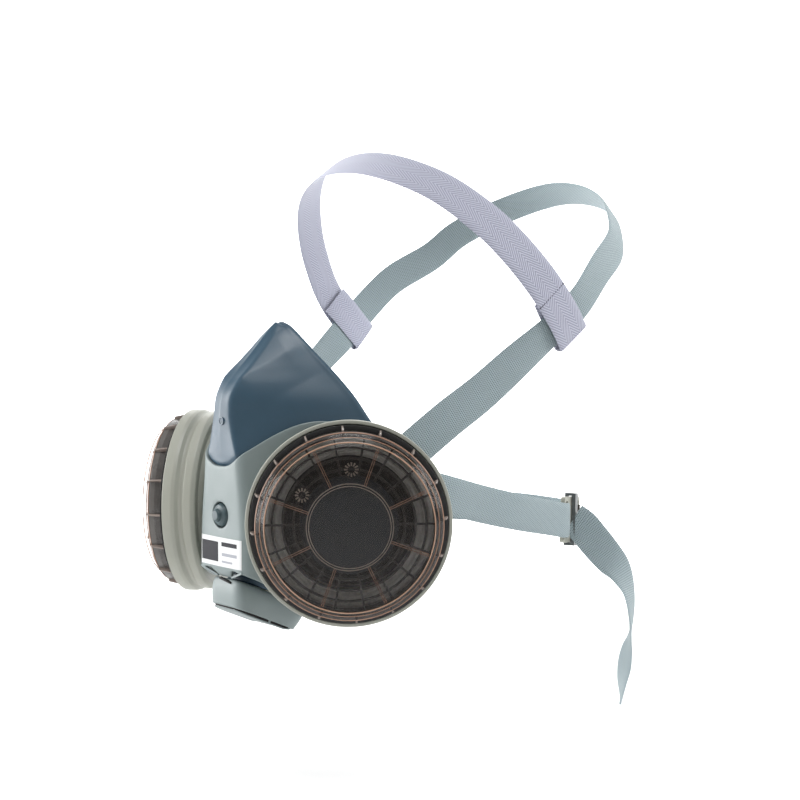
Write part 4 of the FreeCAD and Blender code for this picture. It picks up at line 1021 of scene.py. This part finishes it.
def shroud():
    """The duct: rounded walls between two sloping planes, an inner flange, and a lip round its foot."""
    rings = [(7.0, 1.2), (3.2, 1.15), (2.2, 1.3), (1.5, 1.9), (1.0, 2.8), (0.5, 4.2), (0.15, 6.2), (0.0, 8.4),
             (0.0, 10.4), (0.1, 12.0), (0.15, 12.7), (0.1, 13.1), (0.35, 13.45), (0.8, 13.5), (1.2, 13.2),
             (1.5, 12.6), (1.7, 11.0), (2.2, 5.0), (3.4, 2.8), (7.0, 2.4)]
    rings = [shroud_point(shroud_loop(inset, shroud_back(lift)), lift) for inset, lift in rings]
    return np.concatenate(rings), grid_faces(len(rings), len(rings[0]), True, True)


def bowed(loop, lift, depth):
    """A loop at a lift that dips in the middle of the duct's length and meets it at both ends."""
    points = shroud_point(loop, lift)
    dip = np.interp(loop[:, 1], [-53.0, -48.0, -38.0, -28.0, -21.0], [0.55, 0.85, 1.0, 0.8, 0.05])
    return points - UP * (depth * dip / SLOPE_COSINE)[:, None]


def shroud_plate():
    """The closed bottom, bowed away from the duct so that a slot stays open along each side."""
    rings = [(2.2, 13.2), (1.3, 13.2), (1.0, 13.3), (0.9, 13.5), (1.0, 13.7), (1.3, 13.8), (2.2, 13.9)]
    rings = [bowed(shroud_loop(inset, -20.4), lift, 1.5) for inset, lift in rings]
    return np.concatenate(rings), tube_faces(len(rings), len(rings[0]))


ribs = []
for x0, x1, y0, y1 in ((-14.0, 14.0, 1.8, 2.9), (-7.0, -5.9, -14.0, 13.4), (5.9, 7.0, -14.0, 13.4)):
    ribs.append(on_outlet(slab(x0, x1, y0, y1, 12.6, 14.7, 0.1, 0.2)))
# A black sheet from the duct's inner wall to its bowed foot: painted shade in the open side slots.
slot_shade_sheet = [shroud_point(shroud_loop(1.4, -20.8), 12.9), bowed(shroud_loop(1.4, -20.8), 13.3, 1.5)]
slot_shade_sheet = (np.concatenate(slot_shade_sheet), grid_faces(2, len(slot_shade_sheet[0]), False, True))
make("exhalation_cover_shell", shroud(), LIGHT_PLASTIC, "outlet_cover", "exhalation_valve_cover",
     sharp=50)
make("exhalation_cover_foot", join_parts([shroud_plate()] + ribs), LIGHT_PLASTIC, "outlet_cover",
     "exhalation_cover_plate", sharp=50)
make("exhalation_cover_slot_shade", slot_shade_sheet, BLACK, "outlet_cover")
# A black wedge at the duct's top front: painted shade in the slit between the duct's front lip and the web.
slit_shade = rounded([(5.2, -50.9, 0.1), (5.4, -51.7, 0.1), (-3.4, -50.3, 0.1), (-3.6, -49.5, 0.1)], 1)
slit_shade = place(prism(slit_shade, 0.0, 1.6, 0.05, 1), vec(0, -51.4, 0), RIGHT, UP, FORWARD)
make("exhalation_cover_slit", slit_shade, BLACK, "outlet_cover")
boss = rounded([(13.1, -8.0, 0.2), (15.6, -8.0, 0.2), (15.2, 0.7, 0.5), (13.1, 0.9, 0.3)], 3)
make("facepiece_outlet_boss", on_outlet(lathe(boss, 96)), SILICONE, "mask", sharp=45)
make("exhalation_seat", on_outlet(raised(seat_and_spokes(13.0, 10.4, 4.4), -2.6)), WHITE_PLASTIC, "mask",
     "exhalation_valve_seat", sharp=45)
make("exhalation_flap_disc", on_outlet(raised(flap(11.6, 0.8), 2.0)), VALVE, "outlet_flap",
     "exhalation_valve_disc", sharp=45)

# ---------------------------------------------------------------- straps

HEAD = vec(0, 98.0, 86.0)
HEAD_SIZE = vec(80.0, 110.0, 84.0)


def head_normal(point):
    return unit((np.asarray(point, float) - HEAD) / HEAD_SIZE ** 2)


def on_head(point, lift):
    offset = np.asarray(point, float) - HEAD
    return HEAD + offset / np.linalg.norm(offset / HEAD_SIZE) + head_normal(point) * lift


def ribbon(name, node, points, normals, width, thick, material):
    """A flat woven band with soft edges, and UVs in metres: X across, Y along."""
    points, normals = np.asarray(points, float), unit(np.asarray(normals, float))
    samples = max(12, int(along_path(points)[-1] / 1.6))
    both = spline(np.column_stack([points, normals * 30.0]), samples)
    centre, facing = both[:, :3], unit(both[:, 3:])
    tangent = unit(np.gradient(centre, axis=0))
    side = unit(np.cross(tangent, facing))
    facing = unit(np.cross(side, tangent))
    along = along_path(centre)
    u = np.linspace(-1, 1, 14)
    top = np.column_stack([u * width / 2, (1 - np.abs(u) ** 6) ** 0.5 * thick / 2])
    section = np.concatenate([top, top[-2:0:-1] * vec(1, -1)])
    count = len(section)
    verts = centre[:, None] + side[:, None] * section[None, :, :1] + facing[:, None] * section[None, :, 1:]
    mesh = bpy.data.meshes.new(name)
    mesh.from_pydata([tuple(p) for p in verts.reshape(-1, 3) * MM], [], tube_faces(samples, count))
    place_uv = np.column_stack([np.tile(section[:, 0], samples), np.repeat(along, count)]) * MM
    loops = np.array([loop.vertex_index for loop in mesh.loops])
    mesh.uv_layers.new(name="weave").data.foreach_set("uv", place_uv[loops].ravel())
    work = bmesh.new()
    work.from_mesh(mesh)
    bmesh.ops.recalc_face_normals(work, faces=work.faces)
    work.to_mesh(mesh)
    work.free()
    item = finished(name, mesh, material, "mask", node, 60)


def both_sides(half):
    """Points from the left to the middle, and on to the right as their mirror image."""
    return half + [p * MIRROR for p in half[-2::-1]]


UPPER_FREE = [(63.6, 8.4, 11.0), (67.6, 27.0, 24.4), (71.0, 45.0, 36.0), (74.6, 63.0, 49.4)]
UPPER_HEAD = [(78, 82, 63.4), (80.5, 94, 72.5), (81, 104, 81), (79, 121, 96), (70, 145, 111), (60, 155, 122.5),
              (45, 166, 132), (23, 175, 140), (0, 178, 143.5)]
upper = [vec(*p) for p in UPPER_FREE]
upper += [on_head(p, 1.05 + (1.0 if k < 3 else 0.0)) for k, p in enumerate(UPPER_HEAD)]
facing = [vec(0.88, -0.42, 0), vec(0.93, -0.3, 0.1), vec(0.96, -0.2, 0.1), vec(0.98, -0.15, 0)]
facing += [head_normal(p) for p in UPPER_HEAD]
ribbon("upper_strap_band", "upper_head_strap", both_sides(upper), both_sides(facing), 18.0, 1.3, ELASTIC)

CROWN_HEAD = [(79.5, 99, 62), (80, 90, 72), (79.9, 76, 87.4), (74.4, 61, 106), (65.7, 49.3, 120.2),
              (51, 37.2, 133.7), (33, 27.7, 142.6), (16, 23.2, 147.2), (0, 21.6, 148.7)]
CROWN_LIFT = [4.6, 4.6, 4.2, 2.2, 1.2, 1.0, 1.0, 1.0, 1.0]
crown = [on_head(p, lift) for p, lift in zip(CROWN_HEAD, CROWN_LIFT)]
ribbon("crown_tape_band", "crown_strap", both_sides(crown), both_sides([head_normal(p) for p in CROWN_HEAD]),
       20.0, 1.1, TAPE)


def head_spot(rise, lift):
    """A place on the crown tape's middle line, rise mm above its lower end."""
    path = spline(np.array(CROWN_HEAD[:6], float), 300)
    along = along_path(path)
    return on_head(vec(*[np.interp(rise, along, path[:, k]) for k in range(3)]), lift)


for side, scale in (("left", vec(1, 1, 1)), ("right", MIRROR)):
    foot = head_spot(0.6, 2.5)
    down = unit(head_spot(0.0, 2.5) - head_spot(3.0, 2.5))
    out = head_normal(foot)
    folded, outward = [], []
    for turn in np.linspace(math.pi / 2, -math.pi / 2, 9):
        spoke = out * math.sin(turn) + down * math.cos(turn)
        folded.append(foot + out * math.sin(turn) * 2.0 + down * math.cos(turn) * 0.9)
        outward.append(spoke)
    for rise, lift in ((4.0, 0.45), (12.0, 0.45), (20.0, 0.5), (26.0, 1.6), (29.5, 2.4)):
        folded.append(head_spot(rise, lift))
        outward.append(-head_normal(folded[-1]))
    ribbon(side + "_crown_fold", None, [p * scale for p in folded], [n * scale for n in outward], 20.0, 0.9, TAPE)
    stitches = []
    centre, ahead = head_spot(27.5, 5.2), head_spot(29.5, 5.2)
    tangent, outside = unit(ahead - centre), head_normal(centre)
    edge = np.cross(tangent, outside)
    stitch = slab(-0.45, 0.45, -0.3, 0.3, -0.6, 0.45, 0.1, 0.1)
    for k in range(13):
        at = centre + edge * (k - 6) * 1.5
        stitches.append(place(stitch, at - outside * 0.6, edge, tangent, outside))
    verts, faces = join_parts(stitches)
    make(side + "_crown_stitches", (verts * scale, faces), THREAD, "mask")

LOWER_LEFT = [(66.0, 10.6, -6.8), (67.2, 28.0, -11.4), (65.0, 50.0, -17.2), (62.4, 80.0, -24.2),
              (57.6, 108.0, -29.8), (54.4, 123.4, -32.9), (52.2, 129.4, -33.6)]
NAPE = [(-62.4, 80.0, -24.2), (-58.0, 108.0, -29.8), (-49.0, 131.0, -33.6), (-34.0, 150.0, -35.4),
        (-14.0, 161.0, -36.2), (8.0, 163.4, -36.8), (25.0, 160.0, -36.8), (35.6, 155.6, -36.3)]


def neck_facing(p):
    if p[1] > 70:
        return unit(vec(p[0], p[1] - 98.0, 0))
    return unit(vec(math.copysign(0.97, p[0]), -0.24, 0))


ribbon("left_lower_band", "left_lower_strap", LOWER_LEFT, [neck_facing(p) for p in LOWER_LEFT], 18.0, 1.3, ELASTIC)
right_points = [(-x, y, z) for x, y, z in LOWER_LEFT[:3]] + NAPE
ribbon("right_lower_band", "right_lower_strap", right_points, [neck_facing(p) for p in right_points], 18.0, 1.3,
       ELASTIC)

TAIL = [(49.2, 136.0, -34.2), (52.6, 139.5, -37.6), (58.3, 142.8, -45.0), (64.9, 146.6, -53.7), (70.4, 149.3, -60.6),
        (73.6, 151.0, -67.6), (75.3, 151.6, -73.8), (76.1, 151.9, -83.3), (75.8, 151.8, -91.2), (75.2, 151.5, -96.6),
        (74.2, 150.8, -101.9), (73.2, 149.9, -110.0), (72.4, 148.9, -118.4), (72.3, 148.3, -129.0)]
# how squarely each point's outer face looks forward; below zero the band shows its back
TAIL_TWIST = (0.98, 0.99, 0.99, 0.92, 0.74, 0.56, 0.43, 0.30, 0.19, 0.06, -0.13, -0.22, -0.10, 0.20)
TAIL_FACING = [vec(0.747, -0.663, 0.045) * c + vec(0.664, 0.748, 0) * math.sqrt(1 - c * c) for c in TAIL_TWIST]
ribbon("tail_band", "lower_strap_tail", TAIL, TAIL_FACING, 18.0, 1.3, ELASTIC)

# ---------------------------------------------------------------- carried-over CAD nodes

LOOKS = {"fit_check_plate": SLATE_PLASTIC, "button_spring": STEEL, "buckle_frame": WHITE_PLASTIC,
         "buckle_bar": BUCKLE_GREY, "buckle_hook": DARK_PLASTIC}
for node, material in LOOKS.items():
    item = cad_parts[node]
    item.data.materials.clear()
    item.data.materials.append(material)

# ---------------------------------------------------------------- stage, light, camera

VIEW_TURN = 48.4


def stage():
    """A pale floor that sweeps up into a backdrop behind the object."""
    low = -0.145
    profile = [(-3.0, low)] + [(1.2 + 0.9 * math.sin(t), low + 0.9 * (1 - math.cos(t)))
                               for t in np.linspace(0, math.pi / 2, 16)] + [(2.1, 3.2)]
    back = unit(vec(-math.sin(math.radians(VIEW_TURN)), math.cos(math.radians(VIEW_TURN)), 0))
    side = np.cross(back, UP)
    verts = []
    for along, height in profile:
        for across in (-4.0, 4.0):
            verts.append(vec(0, 0.057, 0) + back * along + side * across + UP * height)
    verts = np.array(verts)
    make("floor", (verts / MM, grid_faces(len(profile), 2)), FLOOR)


def floor_material():
    s = Shader("floor_paper", (0.86, 0.86, 0.86), 0.9)
    s.bump(s.noise(60.0, 3.0), 0.05, 0.0005)
    return s.material


FLOOR = floor_material()
stage()

scene = bpy.context.scene
world = bpy.data.worlds.new("studio")
scene.world = world
world.use_nodes = True
world.node_tree.nodes["Background"].inputs["Color"].default_value = (1, 1, 1, 1)
world.node_tree.nodes["Background"].inputs["Strength"].default_value = 0.38
scene.view_settings.view_transform = "Standard"


def area_light(name, position, target, side, power):
    data = bpy.data.lights.new(name, "AREA")
    data.shape = "RECTANGLE"
    data.size = data.size_y = side
    data.energy = power
    item = bpy.data.objects.new(name, data)
    item.location = position
    item.rotation_euler = (Vector(target) - Vector(position)).to_track_quat("-Z", "Y").to_euler()
    scene.collection.objects.link(item)


area_light("key", (-0.98, -0.86, 0.22), (0, 0, 0), 0.95, 28.0)
area_light("top", (0.36, -0.2, 1.32), (0, 0.05, 0.03), 0.75, 14.0)
area_light("rear_rim", (0.75, 1.25, 0.5), (0, 0.12, 0.02), 0.9, 18.0)
area_light("backdrop", (-0.75, 0.75, 1.1), (-1.5, 1.45, 0.2), 1.6, 60.0)


def camera():
    azimuth, elevation, distance = math.radians(VIEW_TURN), math.radians(2.6), 0.700
    aim = Vector((0, 0.057, 0.030))
    back = Vector((math.sin(azimuth) * math.cos(elevation), -math.cos(azimuth) * math.cos(elevation),
                   math.sin(elevation)))
    data = bpy.data.cameras.new("camera")
    data.sensor_width = 36.0
    data.lens = 60.98
    data.clip_start = 0.01
    item = bpy.data.objects.new("camera", data)
    item.location = aim + back * distance
    item.rotation_euler = (-back).to_track_quat("-Z", "Y").to_euler()
    scene.collection.objects.link(item)
    scene.camera = item


camera()
bpy.context.view_layer.update()
